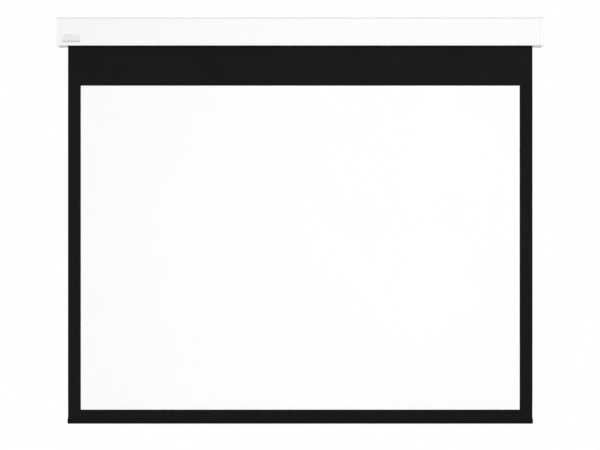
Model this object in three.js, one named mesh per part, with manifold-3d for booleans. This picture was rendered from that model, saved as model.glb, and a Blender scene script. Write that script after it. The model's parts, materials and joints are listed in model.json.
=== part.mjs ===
// A motorized projector screen, let down: a long white case with the roller and its tubular motor,
// the cloth with its black borders, and the weight bar in the hem.
// Millimetres. +X to the viewer's right, +Y towards the wall, +Z up.
// The origin is on the case's flat back, at the middle of its length and height.

import * as THREE from 'three';
import { mergeVertices } from 'three/addons/utils/BufferGeometryUtils.js';
import Module from 'manifold-3d';

const wasm = await Module();
wasm.setup();

// Picture and cloth
const viewingWidth = 1707;
const viewingHeight = 1260;
const sideBorder = 50;
const topDrop = 155; // black cloth between the case and the picture
const bottomBorder = 55; // black cloth from the picture to the underside of the hem
const backingThickness = 0.5;
const faceThickness = 0.3;
const clothSetback = 22; // of the backing's middle from the case front

// Case
const caseHeight = 110;
const caseWall = 2;
const caseFrontRadius = 12;
const caseLipRadius = 3;
const caseBackRadius = 2;
const frontLipDepth = 8;
const frontLipRise = 8;
const slotWidth = 28;
const rearLedgeDepth = 12;

// Screw ports of the extrusion
const portBore = 4;
const portWall = 2;
const frontPortSetback = 20; // of the upper front port, from the case front
const upperPortDrop = 5.5; // of the upper front port, from the case top
const rearPortSetback = 52; // of the upper rear port, from the case back
const lowerPortRise = 17; // of the lower ports, from the case underside

// End caps and their screws
const capDepth = 14;
const capProud = 1.5;
const capWall = 2.5;
const capEdge = 1.5;
const bossWall = 1.6;
const screwShank = 3.4;
const screwHead = 7.5;
const screwHeadHeight = 2.4;
const screwLength = 36;
const driveSlotWidth = 1.2;
const driveSlotDepth = 1.2;

// Bracket plates
const plateThickness = 3;
const tabLength = 20;
const tabWidth = 22;
const coverScrewInset = 10;
const coverScrewShank = 4;
const coverScrewHead = 7.6;
const coverScrewLength = 7;

// Bottom cover
const coverFlangeHeight = 12;
const coverTongue = 8;

// Roller
const rollerAxisDrop = 50; // of the roller's axis below the case top
const rollerBackSpace = 22.6; // from the turns left on the roller to the case back
const tubeDiameter = 50;
const tubeWall = 1.2;
const tubeOverhang = 10.5; // of the tube past the cloth, at each end
const kederDiameter = 3.4;
const kederCavity = 4.2;
const kederWall = 1.2;
const kederSlot = 1.8;
const wrapTurns = 2.25;
const wrapGap = 0.4;

// Tubular motor
const headDiameter = 44;
const headLength = 13.7;
const headBoss = 16;
const headBossReach = 3.7; // of the boss past the bracket plate
const headSpigotLength = 10;
const casingDiameter = 35;
const casingWall = 1;
const casingEndWall = 1.5;
const limitUnitLength = 50;
const capacitorLength = 60;
const capacitorDiameter = 31;
const motorCanLength = 110;
const gearboxLength = 130;
const clipThickness = 1;
const clipWidth = 24;
const clipNeck = 12;
const limitScrewDiameter = 5;
const limitScrewLength = 10;
const limitScrewSpacing = 12;
const limitScrewSocket = 2.5;
const accessHole = 6;

// Drive end and idler end
const wheelFlange = 2.7;
const crownLength = 18;
const driveWheelLength = 22;
const shaftDiameter = 12;
const shaftHex = 10; // across flats
const shaftReach = 34; // out of the casing
const shaftSeat = 18; // inside the gearbox
const driveClipDiameter = 17;
const driveClipNeck = 7;
const idlerPlugLength = 34;
const bearingDiameter = 24;
const bearingWidth = 8;
const axleDiameter = 12;
const axleCollar = 20;
const nutAcrossFlats = 18;
const nutHeight = 6;
const axlePastNut = 1.6;

// Motor lead and its way out
const leadDiameter = 5;
const leadSocket = 4;
const leadInset = 3.875; // of the start of the lead's bend inside the head
const leadRun = 44;
const leadRise = 24;
const leadWallDistance = 7; // from the case's back wall to the middle of the lead
const bushHole = 10.6;
const bushFlange = 13;
const bushFlangeHeight = 2;
const bushLip = 11.8;
const bushLipHeight = 2;
const leadClipWidth = 12;
const leadClipWall = 1.5;
const leadClipBase = 14;

// Wall brackets, their clamp screws and the channel that takes them
const bracketThickness = 3;
const bracketWidth = 60;
const bracketBackLeg = 43;
const bracketTopLeg = 57;
const bracketInset = 231; // of each bracket's middle from the end of the extrusion
const bracketHole = 6;
const bracketHoleSpacing = 36;
const wallHoleRise = 18; // of the wall holes above the bracket's lower edge
const ceilingHoleInset = 9; // of the ceiling holes from the bracket's front edge
const channelSetback = 30; // of the channel's middle from the case back
const channelMouth = 10;
const channelWidth = 18;
const channelDepth = 6;
const nutPlateLength = 24;
const nutPlateHeight = 4;
const clampShank = 5;
const clampHead = 10;
const clampLength = 10.4;

// Weight bar and hem
const barDiameter = 19;
const barWall = 1.2;
const hemThickness = 0.5;
const hemRise = 25; // from the bar's axis to the top of the pocket
const plugHeadLength = 3;
const plugSpigotLength = 20;

// Badge
const badgeWidth = 68;
const badgeHeight = 30;
const badgeThickness = 1.5;
const badgeInset = 9; // of its left edge from the end of the extrusion
const badgeRise = 12.5; // of its lower edge above the case underside
const badgeRadius = 5;
const badgeFootRadius = 1;

// Clearances
const gap = 0.3; // between pieces that touch
const overrun = 1; // of a cutter past the face it cuts

// Counts
const roundSides = 36;
const smallSides = 16;
const filletSteps = 6;
const turnSteps = 32;
const bevelSteps = 2;
const hexSides = 6;
const leadSides = 8;
const leadSteps = 32;
const wheelHoles = 5;

// Places worked out from the sizes above
const clothWidth = viewingWidth + 2 * sideBorder;
const clothHalf = clothWidth / 2;
const tubeHalf = clothHalf + tubeOverhang;
const headStart = tubeHalf + gap + wheelFlange + gap;
const shellHalf = headStart + headLength;
const plateInner = shellHalf + gap;
const plateOuter = plateInner + plateThickness;
const capOuter = shellHalf + capDepth;
const capCeiling = capOuter - capWall;

const caseTop = caseHeight / 2;
const caseBottom = -caseHeight / 2;
const innerBottom = caseBottom + caseWall;
const innerBack = -caseWall;

const rebate = bracketThickness + gap;
const rebateFloor = caseTop - rebate;
const rebateBottom = caseTop - bracketBackLeg - gap;
const rebateFront = -bracketTopLeg - gap;
const rebateCeiling = rebateFloor - caseWall;
const upperInnerBack = -rebate - caseWall;

const wrapPitch = backingThickness + wrapGap;
const tubeRadius = tubeDiameter / 2;
const tubeBore = tubeRadius - tubeWall;
const wrapStart = tubeRadius + gap + backingThickness / 2;
const wrapEnd = wrapStart + wrapPitch * wrapTurns;
const axisY = -rollerBackSpace - backingThickness / 2 - wrapEnd;
const axisZ = caseTop - rollerAxisDrop;
const clothY = axisY - wrapEnd;
const caseFront = clothY - clothSetback;
const caseDepth = -caseFront;
const slotFront = caseFront + frontLipDepth;
const slotRear = slotFront + slotWidth;
const ledgeFront = -rearLedgeDepth;
const kederRadius = tubeRadius - kederWall / 2 - kederCavity / 2;
const kederAngle = Math.PI - 2 * Math.PI * wrapTurns;

const pictureTop = caseBottom - topDrop;
const pictureBottom = pictureTop - viewingHeight;
const barRadius = barDiameter / 2;
const hemInner = barRadius + gap;
const hemOuter = hemInner + hemThickness;
const barZ = pictureBottom - bottomBorder + hemOuter;
const hemTop = barZ + hemRise;

const portRadius = portBore / 2 + portWall;
const ports = [
  { y: caseFront + frontPortSetback, z: caseTop - upperPortDrop },
  { y: caseFront + caseWall + portRadius - gap, z: caseBottom + lowerPortRise },
  { y: innerBack - portRadius + gap, z: caseBottom + lowerPortRise },
  { y: -rearPortSetback, z: rebateCeiling - portRadius + gap },
];
const channelY = -channelSetback;
const bracketX = shellHalf - bracketInset;
const limitScrewYs = [axisY - limitScrewSpacing / 2, axisY + limitScrewSpacing / 2];
const limitScrewX = -headStart - headLength / 2;
const coverScrewY = (ledgeFront + slotRear) / 2 + tabWidth / 2;
const coverScrewX = shellHalf - coverScrewInset;

// Shapes and solids

function solidOf(geometry) {
  const bare = geometry.index ? geometry.toNonIndexed() : geometry.clone();
  bare.deleteAttribute('normal');
  bare.deleteAttribute('uv');
  const merged = mergeVertices(bare, 1e-4);
  return new wasm.Manifold(new wasm.Mesh({
    numProp: 3,
    vertProperties: Float32Array.from(merged.attributes.position.array),
    triVerts: Uint32Array.from(merged.index.array),
  }));
}

function geometryOf(solid) {
  const mesh = solid.getMesh();
  const geometry = new THREE.BufferGeometry();
  geometry.setAttribute('position', new THREE.BufferAttribute(mesh.vertProperties, mesh.numProp));
  geometry.setIndex(new THREE.BufferAttribute(mesh.triVerts, 1));
  return geometry;
}

// The points of an outline whose corners, each [across, up, radius], are rounded.
function outline(corners) {
  const points = [];
  corners.forEach(([across, up, radius = 0], index) => {
    const corner = new THREE.Vector2(across, up);
    if (radius === 0) {
      points.push(corner);
      return;
    }
    const last = corners.at(index - 1);
    const next = corners[(index + 1) % corners.length];
    const toLast = new THREE.Vector2(last[0], last[1]).sub(corner).normalize();
    const toNext = new THREE.Vector2(next[0], next[1]).sub(corner).normalize();
    const half = Math.acos(toLast.dot(toNext)) / 2;
    const inward = toLast.clone().add(toNext).normalize();
    const centre = corner.clone().addScaledVector(inward, radius / Math.sin(half));
    const start = corner.clone().addScaledVector(toLast, radius / Math.tan(half)).sub(centre);
    const end = corner.clone().addScaledVector(toNext, radius / Math.tan(half)).sub(centre);
    const sweep = Math.atan2(start.cross(end), start.dot(end));
    for (let step = 0; step <= filletSteps; step += 1) {
      const arm = start.clone().rotateAround(new THREE.Vector2(), sweep * step / filletSteps);
      points.push(centre.clone().add(arm));
    }
  });
  return points;
}

function extruded(points, length, hole) {
  const shape = new THREE.Shape(points);
  if (hole) {
    shape.holes.push(new THREE.Path(hole));
  }
  return new THREE.ExtrudeGeometry(shape, { depth: length, bevelEnabled: false, steps: 1 });
}

const alongX = new THREE.Matrix4().makeBasis(
  new THREE.Vector3(0, 1, 0), new THREE.Vector3(0, 0, 1), new THREE.Vector3(1, 0, 0));

// A profile drawn in (y, z), from one x to another.
function bar(points, fromX, toX, hole) {
  const geometry = extruded(points, toX - fromX, hole);
  return solidOf(geometry.applyMatrix4(alongX).translate(fromX, 0, 0));
}

// A box between two corners.
function block(low, high) {
  const size = high.map((value, index) => value - low[index]);
  const middle = high.map((value, index) => (value + low[index]) / 2);
  return solidOf(new THREE.BoxGeometry(...size).translate(...middle));
}

// A cylinder or cone along X, Y or Z, from one place to another on that axis.
function rod(axis, from, to, centre, radius, { endRadius = radius, sides = roundSides } = {}) {
  const geometry = new THREE.CylinderGeometry(endRadius, radius, to - from, sides);
  geometry.translate(0, (to + from) / 2, 0);
  if (axis === 'x') {
    geometry.applyMatrix4(new THREE.Matrix4().makeBasis(
      new THREE.Vector3(0, 1, 0), new THREE.Vector3(1, 0, 0), new THREE.Vector3(0, 0, -1)));
    geometry.translate(0, centre[0], centre[1]);
  } else if (axis === 'z') {
    geometry.rotateX(Math.PI / 2);
    geometry.translate(centre[0], centre[1], 0);
  }
  return solidOf(geometry);
}

const onAxis = [axisY, axisZ];

function rollerRod(from, to, radius, options) {
  return rod('x', from, to, onAxis, radius, options);
}

function polar(radius, angle, centre) {
  return [centre[0] + radius * Math.cos(angle), centre[1] + radius * Math.sin(angle)];
}

function mirrored(solid) {
  return solid.mirror([1, 0, 0]);
}

// Across the flats of a hexagon, to its corner radius.
function hexRadius(acrossFlats) {
  return acrossFlats / 2 / Math.cos(Math.PI / hexSides);
}

// Looks of the pieces

const finishes = {
  casePaint: { color: 0xf4f5f4, roughness: 0.42, metalness: 0.0 },
  capPlastic: { color: 0xf6f7f6, roughness: 0.5, metalness: 0.0 },
  badgePlastic: { color: 0xe4e5e5, roughness: 0.4, metalness: 0.1 },
  blackCloth: { color: 0x1c1d1e, roughness: 0.85, metalness: 0.0 },
  whiteCloth: { color: 0xfbfbfa, roughness: 0.9, metalness: 0.0 },
  blackPlastic: { color: 0x181819, roughness: 0.5, metalness: 0.0 },
  zincSteel: { color: 0xb9bdc1, roughness: 0.38, metalness: 0.9 },
  rollerSteel: { color: 0xa9adb0, roughness: 0.35, metalness: 0.9 },
  motorSteel: { color: 0x8f9498, roughness: 0.4, metalness: 0.85 },
  greyPlastic: { color: 0x6f7478, roughness: 0.55, metalness: 0.0 },
  whiteNylon: { color: 0xe9e7df, roughness: 0.5, metalness: 0.0 },
  rubber: { color: 0x2a2a2b, roughness: 0.7, metalness: 0.0 },
  brass: { color: 0xb79a5a, roughness: 0.3, metalness: 0.9 },
  capacitorCan: { color: 0xd9dadb, roughness: 0.3, metalness: 0.7 },
};

const group = new THREE.Group();

function place(name, solid, finish) {
  const mesh = new THREE.Mesh(geometryOf(solid), new THREE.MeshStandardMaterial(finishes[finish]));
  mesh.name = name;
  group.add(mesh);
}

// Case

// The outside of the case, drawn in (y, z), with the rebate for the brackets.
function caseOutside() {
  return outline([
    [0, caseBottom, caseBackRadius],
    [0, rebateBottom],
    [-rebate, rebateBottom],
    [-rebate, rebateFloor],
    [rebateFront, rebateFloor],
    [rebateFront, caseTop],
    [caseFront, caseTop, caseFrontRadius],
    [caseFront, caseBottom, caseLipRadius],
  ]);
}

function caseInside() {
  return outline([
    [innerBack, innerBottom],
    [innerBack, rebateBottom - caseWall],
    [upperInnerBack, rebateBottom - caseWall],
    [upperInnerBack, rebateCeiling],
    [rebateFront - caseWall, rebateCeiling],
    [rebateFront - caseWall, caseTop - caseWall],
    [caseFront + caseWall, caseTop - caseWall, caseFrontRadius - caseWall],
    [caseFront + caseWall, innerBottom, caseLipRadius - caseWall],
  ]);
}

function caseShell() {
  const from = -shellHalf;
  const to = shellHalf;
  const cutFrom = from - overrun;
  const cutTo = to + overrun;
  let shell = bar(caseOutside(), from, to).subtract(bar(caseInside(), cutFrom, cutTo));
  shell = shell.add(block(
    [from, slotFront - caseWall, innerBottom - caseWall / 2],
    [to, slotFront, innerBottom + frontLipRise]));
  shell = shell.subtract(block(
    [cutFrom, slotFront, caseBottom - overrun],
    [cutTo, ledgeFront, innerBottom + overrun]));
  for (const port of ports) {
    shell = shell.add(rod('x', from, to, [port.y, port.z], portRadius, { sides: smallSides })
      .intersect(bar(caseOutside(), from, to)));
  }
  const channelHalf = channelWidth / 2;
  const channelFloor = rebateCeiling - channelDepth;
  shell = shell.add(block(
    [from, channelY - channelHalf - caseWall, channelFloor - caseWall],
    [to, channelY + channelHalf + caseWall, rebateCeiling + caseWall / 2]));
  shell = shell.subtract(block(
    [cutFrom, channelY - channelHalf, channelFloor],
    [cutTo, channelY + channelHalf, rebateCeiling]));
  shell = shell.subtract(block(
    [cutFrom, channelY - channelMouth / 2, rebateCeiling - overrun],
    [cutTo, channelY + channelMouth / 2, rebateFloor + overrun]));
  for (const port of ports) {
    shell = shell.subtract(
      rod('x', cutFrom, cutTo, [port.y, port.z], portBore / 2, { sides: smallSides }));
  }
  shell = shell.subtract(rod('z', rebateCeiling - overrun, rebateFloor + overrun,
    [bushX, leadY], bushHole / 2, { sides: smallSides }));
  return shell;
}

function bottomCover() {
  const tongueBottom = innerBottom + gap;
  const profile = [
    [slotRear, caseBottom],
    [ledgeFront - gap, caseBottom],
    [ledgeFront - gap, tongueBottom],
    [ledgeFront + coverTongue, tongueBottom],
    [ledgeFront + coverTongue, tongueBottom + caseWall],
    [ledgeFront - gap - caseWall, tongueBottom + caseWall],
    [ledgeFront - gap - caseWall, innerBottom],
    [slotRear + caseWall, innerBottom],
    [slotRear + caseWall, caseBottom + coverFlangeHeight],
    [slotRear, caseBottom + coverFlangeHeight],
  ];
  let cover = bar(outline(profile), -shellHalf, shellHalf);
  for (const y of limitScrewYs) {
    cover = cover.subtract(rod('z', caseBottom - overrun, innerBottom + overrun,
      [limitScrewX, y], accessHole / 2, { sides: smallSides }));
  }
  for (const x of [-coverScrewX, coverScrewX]) {
    cover = cover.subtract(coverScrewShape(x, gap));
  }
  return cover;
}

// A countersunk cover screw, head down, or with a margin the hole that takes it.
function coverScrewShape(x, margin) {
  const shank = coverScrewShank / 2 + margin;
  const head = coverScrewHead / 2 + margin;
  const foot = caseBottom - (margin > 0 ? overrun : 0);
  const centre = [x, coverScrewY];
  const neck = caseBottom + coverScrewHead / 2 - coverScrewShank / 2;
  const body = rod('z', foot, caseBottom + coverScrewLength + margin, centre, shank, { sides: smallSides });
  const cone = rod('z', caseBottom, neck, centre, head, { endRadius: shank, sides: smallSides });
  return body.add(cone);
}

// The outline of an end piece, drawn in (y, z): the case's own, moved out at its front, top and
// underside by one amount and in at its back by another.
function endOutline(out, backIn) {
  return outline([
    [-backIn, caseBottom - out, caseBackRadius],
    [-backIn, caseTop + out, caseBackRadius],
    [caseFront - out, caseTop + out, caseFrontRadius + out],
    [caseFront - out, caseBottom - out, caseLipRadius + out],
  ]);
}

// The left end cap: a cup whose softened face looks to -X, with a boss for each end screw.
function endCap() {
  const face = endOutline(capProud - capEdge, capEdge);
  const shape = new THREE.Shape(face);
  const rounded = new THREE.ExtrudeGeometry(shape, {
    depth: capDepth,
    steps: 1,
    bevelEnabled: true,
    bevelThickness: capEdge,
    bevelSize: capEdge,
    bevelSegments: bevelSteps,
  });
  const body = solidOf(rounded.applyMatrix4(alongX).translate(-capOuter + capEdge, 0, 0));
  const room = block(
    [-capOuter - overrun, caseFront - caseDepth, caseBottom - caseHeight],
    [-shellHalf - gap, caseDepth, caseTop + caseHeight]);
  const outside = body.intersect(room);
  let cap = outside.subtract(
    bar(endOutline(capProud - capWall, capWall), -capCeiling, -shellHalf + overrun));
  const bossRadius = screwHead / 2 + gap + bossWall;
  const seat = -capOuter + screwHeadHeight + 2 * gap;
  for (const port of ports) {
    const centre = [port.y, port.z];
    cap = cap.add(rod('x', -capCeiling - capWall / 2, -plateOuter - gap, centre, bossRadius,
      { sides: smallSides }).intersect(outside));
    cap = cap.subtract(rod('x', -capOuter - overrun, seat, centre, screwHead / 2 + gap,
      { sides: smallSides }));
    cap = cap.subtract(rod('x', seat - overrun, -shellHalf, centre, screwShank / 2 + gap,
      { sides: smallSides }));
  }
  return cap;
}

function endScrew(port) {
  const seat = -capOuter + screwHeadHeight + gap;
  const centre = [port.y, port.z];
  const head = rod('x', seat - screwHeadHeight, seat, centre, screwHead / 2, { sides: smallSides });
  const shank = rod('x', seat - gap, seat + screwLength, centre, screwShank / 2, { sides: smallSides });
  const drive = [[driveSlotWidth, screwHead / 2], [screwHead / 2, driveSlotWidth]].map(([wide, tall]) => block(
    [seat - screwHeadHeight - overrun, port.y - wide / 2, port.z - tall / 2],
    [seat - screwHeadHeight + driveSlotDepth, port.y + wide / 2, port.z + tall / 2]));
  return head.add(shank).subtract(drive[0]).subtract(drive[1]);
}

// A bracket plate at the left end, before its roller hole is cut.
function bracketPlate() {
  const inset = capWall - capProud + gap;
  let plate = bar(endOutline(-inset, capWall + gap), -plateOuter, -plateInner);
  const tabBottom = innerBottom + gap;
  plate = plate.add(block(
    [-plateOuter + plateThickness / 2, coverScrewY - tabWidth / 2, tabBottom],
    [-shellHalf + tabLength, coverScrewY + tabWidth / 2, tabBottom + plateThickness]));
  for (const port of ports) {
    plate = plate.subtract(rod('x', -plateOuter - overrun, -plateInner + overrun, [port.y, port.z],
      screwShank / 2 + gap, { sides: smallSides }));
  }
  return plate.subtract(coverScrewShape(-coverScrewX, gap));
}

// A square bar on the roller's axis.
function squareBar(from, to, side) {
  return block([from, axisY - side / 2, axisZ - side / 2], [to, axisY + side / 2, axisZ + side / 2]);
}

function motorPlate() {
  return bracketPlate().subtract(squareBar(-plateOuter - overrun, -plateInner + overrun, headBoss + 2 * gap));
}

function idlerPlate() {
  return mirrored(bracketPlate().subtract(
    rollerRod(-plateOuter - overrun, -plateInner + overrun, axleDiameter / 2 + gap)));
}

// Motor

const headOuter = -shellHalf;
const headInner = -headStart;
const headCentreX = (headOuter + headInner) / 2;
const casingFrom = headInner + gap;
const limitUnitFrom = headInner + headSpigotLength + gap;
const capacitorFrom = limitUnitFrom + limitUnitLength + gap;
const motorCanFrom = capacitorFrom + capacitorLength + gap;
const gearboxFrom = motorCanFrom + motorCanLength + gap;
const gearboxTo = gearboxFrom + gearboxLength;
const casingTo = gearboxTo + gap + casingEndWall;
const coreRadius = casingDiameter / 2 - casingWall - gap;
const leadY = upperInnerBack - leadWallDistance;
const leadStartY = axisY + headDiameter / 2 - leadInset;
const leadBend = leadY - leadStartY;
const bushX = headCentreX + leadBend + leadRun + leadRise;

function motorHead() {
  const bossEnd = -plateOuter - headBossReach;
  let head = rollerRod(headOuter, headInner, headDiameter / 2);
  head = head.add(squareBar(bossEnd, headOuter + overrun, headBoss));
  head = head.add(rollerRod(headInner - overrun, headInner + headSpigotLength, coreRadius));
  const grooveFrom = -plateOuter - 2 * gap - clipThickness;
  const groove = squareBar(grooveFrom - gap, grooveFrom + clipThickness + gap, headBoss + overrun)
    .subtract(squareBar(grooveFrom - overrun, -plateOuter, clipNeck));
  head = head.subtract(groove);
  for (const y of limitScrewYs) {
    head = head.subtract(rod('z', axisZ - headDiameter, limitScrewTop + gap, [headCentreX, y],
      limitScrewDiameter / 2 + gap, { sides: smallSides }));
  }
  const socket = rod('y', leadStartY - leadSocket - gap, leadStartY + headDiameter, [0, 0],
    leadDiameter / 2 + gap, { sides: smallSides });
  return head.subtract(socket.translate([headCentreX, 0, axisZ]));
}

// The adjusters stand in the head with their lower ends just inside its round underside.
const limitScrewFoot = axisZ - Math.sqrt((headDiameter / 2) ** 2 - (limitScrewSpacing / 2) ** 2) + overrun;
const limitScrewTop = limitScrewFoot + limitScrewLength;

function limitScrew(y) {
  const centre = [headCentreX, y];
  const body = rod('z', limitScrewFoot, limitScrewTop, centre, limitScrewDiameter / 2, { sides: smallSides });
  return body.subtract(rod('z', limitScrewFoot - overrun, limitScrewFoot + limitScrewLength / 2, centre,
    hexRadius(limitScrewSocket), { sides: hexSides }));
}

function motorCasing() {
  const outer = rollerRod(casingFrom, casingTo, casingDiameter / 2);
  const inner = rollerRod(casingFrom - overrun, casingTo - casingEndWall, casingDiameter / 2 - casingWall);
  const mouth = rollerRod(casingTo - casingEndWall - overrun, casingTo + overrun, shaftDiameter / 2 + gap);
  return outer.subtract(inner).subtract(mouth);
}

function gearboxCartridge() {
  const body = rollerRod(gearboxFrom, gearboxTo, coreRadius);
  return body.subtract(rollerRod(gearboxTo - shaftSeat - gap, gearboxTo + overrun, shaftDiameter / 2 + gap));
}

// A spring clip pushed down over the neck of the head's boss, behind the plate.
function headClip() {
  const from = -plateOuter - 2 * gap - clipThickness;
  const half = clipWidth / 2;
  const neck = clipNeck / 2 + gap;
  const profile = [
    [axisY - half, axisZ - half],
    [axisY - neck, axisZ - half],
    [axisY - neck, axisZ + neck],
    [axisY + neck, axisZ + neck],
    [axisY + neck, axisZ - half],
    [axisY + half, axisZ - half],
    [axisY + half, axisZ + half],
    [axisY - half, axisZ + half],
  ];
  return bar(outline(profile), from, from + clipThickness);
}

// Roller

const kederCentre = polar(kederRadius, kederAngle, onAxis);

// The bead groove's outside, in the tube or with a margin in a wheel that clears it.
function kederLump(from, to, margin) {
  return rod('x', from, to, kederCentre, kederCavity / 2 + kederWall + margin, { sides: smallSides });
}

function rollerTube() {
  const outer = rollerRod(-tubeHalf, tubeHalf, tubeRadius);
  const inner = rollerRod(-tubeHalf - overrun, tubeHalf + overrun, tubeBore);
  const lump = kederLump(-tubeHalf, tubeHalf, 0).intersect(outer);
  const cutFrom = -tubeHalf - overrun;
  const cutTo = tubeHalf + overrun;
  const cavity = rod('x', cutFrom, cutTo, kederCentre, kederCavity / 2, { sides: smallSides });
  const slot = block([cutFrom, 0, -kederSlot / 2], [cutTo, tubeDiameter, kederSlot / 2]);
  const turned = slot.translate([0, kederRadius, 0]).rotate([THREE.MathUtils.radToDeg(kederAngle), 0, 0]);
  return outer.subtract(inner).add(lump).subtract(cavity).subtract(turned.translate([0, axisY, axisZ]));
}

// The turns left on the tube: a strip wound inwards from where the cloth hangs off the front.
function fabricWraps() {
  const steps = Math.round(turnSteps * wrapTurns);
  const half = backingThickness / 2;
  const edge = (offset) => Array.from({ length: steps + 1 }, (_, step) => {
    const share = step / steps;
    const radius = THREE.MathUtils.lerp(wrapEnd, wrapStart, share) + offset;
    return polar(radius, Math.PI - share * wrapTurns * 2 * Math.PI, onAxis);
  });
  return bar(outline([...edge(half), ...edge(-half).reverse()].reverse()), -clothHalf, clothHalf);
}

// A wheel that fills the tube's bore from one place to another, notched for the bead groove.
function tubeFiller(from, to) {
  return rollerRod(from, to, tubeBore - gap)
    .subtract(kederLump(from - overrun, to + overrun, gap));
}

function flange(from, to) {
  return rollerRod(from, to, tubeRadius - gap);
}

function motorCrown() {
  const from = headInner + gap;
  const flangeTo = -tubeHalf - gap;
  const ring = flange(from, flangeTo).add(tubeFiller(flangeTo - gap, flangeTo + crownLength));
  return ring.subtract(rollerRod(from - overrun, flangeTo + crownLength + overrun, casingDiameter / 2 + gap));
}

const wheelFrom = casingTo + 2 * gap;
const wheelTo = wheelFrom + driveWheelLength;
const shaftTo = casingTo + shaftReach;
const clipFrom = wheelTo + gap;

function driveShaft() {
  const seat = rollerRod(gearboxTo - shaftSeat, casingTo + gap, shaftDiameter / 2);
  const hex = rollerRod(casingTo, shaftTo, hexRadius(shaftHex), { sides: hexSides });
  const groove = rollerRod(clipFrom - gap, clipFrom + clipThickness + gap, shaftDiameter)
    .subtract(rollerRod(clipFrom - overrun, clipFrom + clipThickness + overrun, driveClipNeck / 2));
  return seat.add(hex).subtract(groove);
}

function driveWheel() {
  let wheel = tubeFiller(wheelFrom, wheelTo);
  wheel = wheel.subtract(rollerRod(wheelFrom - overrun, wheelTo + overrun, hexRadius(shaftHex + 2 * gap),
    { sides: hexSides }));
  const holeRadius = shaftDiameter / 3;
  const holeCircle = (shaftDiameter / 2 + tubeBore) / 2;
  for (let index = 1; index <= wheelHoles; index += 1) {
    const angle = kederAngle + index * 2 * Math.PI / (wheelHoles + 1);
    wheel = wheel.subtract(rod('x', wheelFrom - overrun, wheelTo + overrun,
      polar(holeCircle, angle, onAxis), holeRadius, { sides: smallSides }));
  }
  return wheel;
}

// An open ring snapped into the shaft's groove.
function driveClip() {
  const neck = driveClipNeck / 2 + gap;
  const ring = rollerRod(clipFrom, clipFrom + clipThickness, driveClipDiameter / 2)
    .subtract(rollerRod(clipFrom - overrun, clipFrom + clipThickness + overrun, neck));
  return ring.subtract(block(
    [clipFrom - overrun, axisY - neck, axisZ - driveClipDiameter],
    [clipFrom + clipThickness + overrun, axisY + neck, axisZ]));
}

const bearingTo = tubeHalf + gap + wheelFlange - gap;
const bearingFrom = bearingTo - bearingWidth;

function idlerPlug() {
  const flangeFrom = tubeHalf + gap;
  const flangeTo = flangeFrom + wheelFlange;
  const plug = flange(flangeFrom, flangeTo).add(tubeFiller(flangeFrom - idlerPlugLength, flangeFrom + gap));
  const seat = rollerRod(bearingFrom - gap, flangeTo + overrun, bearingDiameter / 2 + gap);
  const bore = rollerRod(flangeFrom - idlerPlugLength - overrun, bearingFrom, axleDiameter / 2 + 2 * gap);
  return plug.subtract(seat).subtract(bore);
}

function idlerBearing() {
  return rollerRod(bearingFrom, bearingTo, bearingDiameter / 2)
    .subtract(rollerRod(bearingFrom - overrun, bearingTo + overrun, axleDiameter / 2 + gap));
}

const nutFrom = plateOuter + gap;
const nutTo = nutFrom + nutHeight;

function idlerAxle() {
  const pin = rollerRod(tubeHalf - idlerPlugLength, nutTo + axlePastNut - gap, axleDiameter / 2);
  return pin.add(rollerRod(bearingTo + gap, shellHalf, axleCollar / 2));
}

function axleNut() {
  return rollerRod(nutFrom, nutTo, hexRadius(nutAcrossFlats), { sides: hexSides })
    .subtract(rollerRod(nutFrom - overrun, nutTo + overrun, axleDiameter / 2 + gap));
}

// Motor lead: out of the head towards the wall, along the case's back, then up into its bush.

const bushTop = rebateFloor + gap + bushFlangeHeight;
const leadEndZ = rebateFloor;

function leadRoute() {
  const route = new THREE.CurvePath();
  const at = (x, y, z) => new THREE.Vector3(x, y, z);
  const start = at(headCentreX, leadStartY - leadSocket, axisZ);
  const bendStart = at(headCentreX, leadStartY, axisZ);
  const bendCorner = at(headCentreX, leadY, axisZ);
  const bendEnd = at(headCentreX + leadBend, leadY, axisZ);
  const riseStart = at(bushX - leadRise, leadY, axisZ);
  const riseCorner = at(bushX, leadY, axisZ);
  const riseEnd = at(bushX, leadY, axisZ + leadRise);
  route.add(new THREE.LineCurve3(start, bendStart));
  route.add(new THREE.QuadraticBezierCurve3(bendStart, bendCorner, bendEnd));
  route.add(new THREE.LineCurve3(bendEnd, riseStart));
  route.add(new THREE.QuadraticBezierCurve3(riseStart, riseCorner, riseEnd));
  route.add(new THREE.LineCurve3(riseEnd, at(bushX, leadY, leadEndZ)));
  return route;
}

function motorLead() {
  const section = Array.from({ length: leadSides }, (_, side) => new THREE.Vector2(
    ...polar(leadDiameter / 2, side * 2 * Math.PI / leadSides, [0, 0])));
  const route = leadRoute();
  const points = new THREE.CatmullRomCurve3(route.getSpacedPoints(leadSteps), false, 'centripetal');
  return solidOf(new THREE.ExtrudeGeometry(new THREE.Shape(section), {
    steps: leadSteps,
    bevelEnabled: false,
    extrudePath: points,
  }));
}

function cableBush() {
  const centre = [bushX, leadY];
  const lipTop = rebateCeiling - gap;
  const sides = { sides: smallSides };
  const flangeDisc = rod('z', rebateFloor + gap, bushTop, centre, bushFlange / 2, sides);
  const neck = rod('z', lipTop - bushLipHeight / 2, bushTop - bushFlangeHeight / 2, centre, bushHole / 2 - gap, sides);
  const lip = rod('z', lipTop - bushLipHeight, lipTop, centre, bushHole / 2 - gap,
    { endRadius: bushLip / 2, ...sides });
  const bore = rod('z', lipTop - bushLipHeight - overrun, leadEndZ + gap, centre, leadDiameter / 2 + gap, sides);
  return flangeDisc.add(neck).add(lip).subtract(bore);
}

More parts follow.
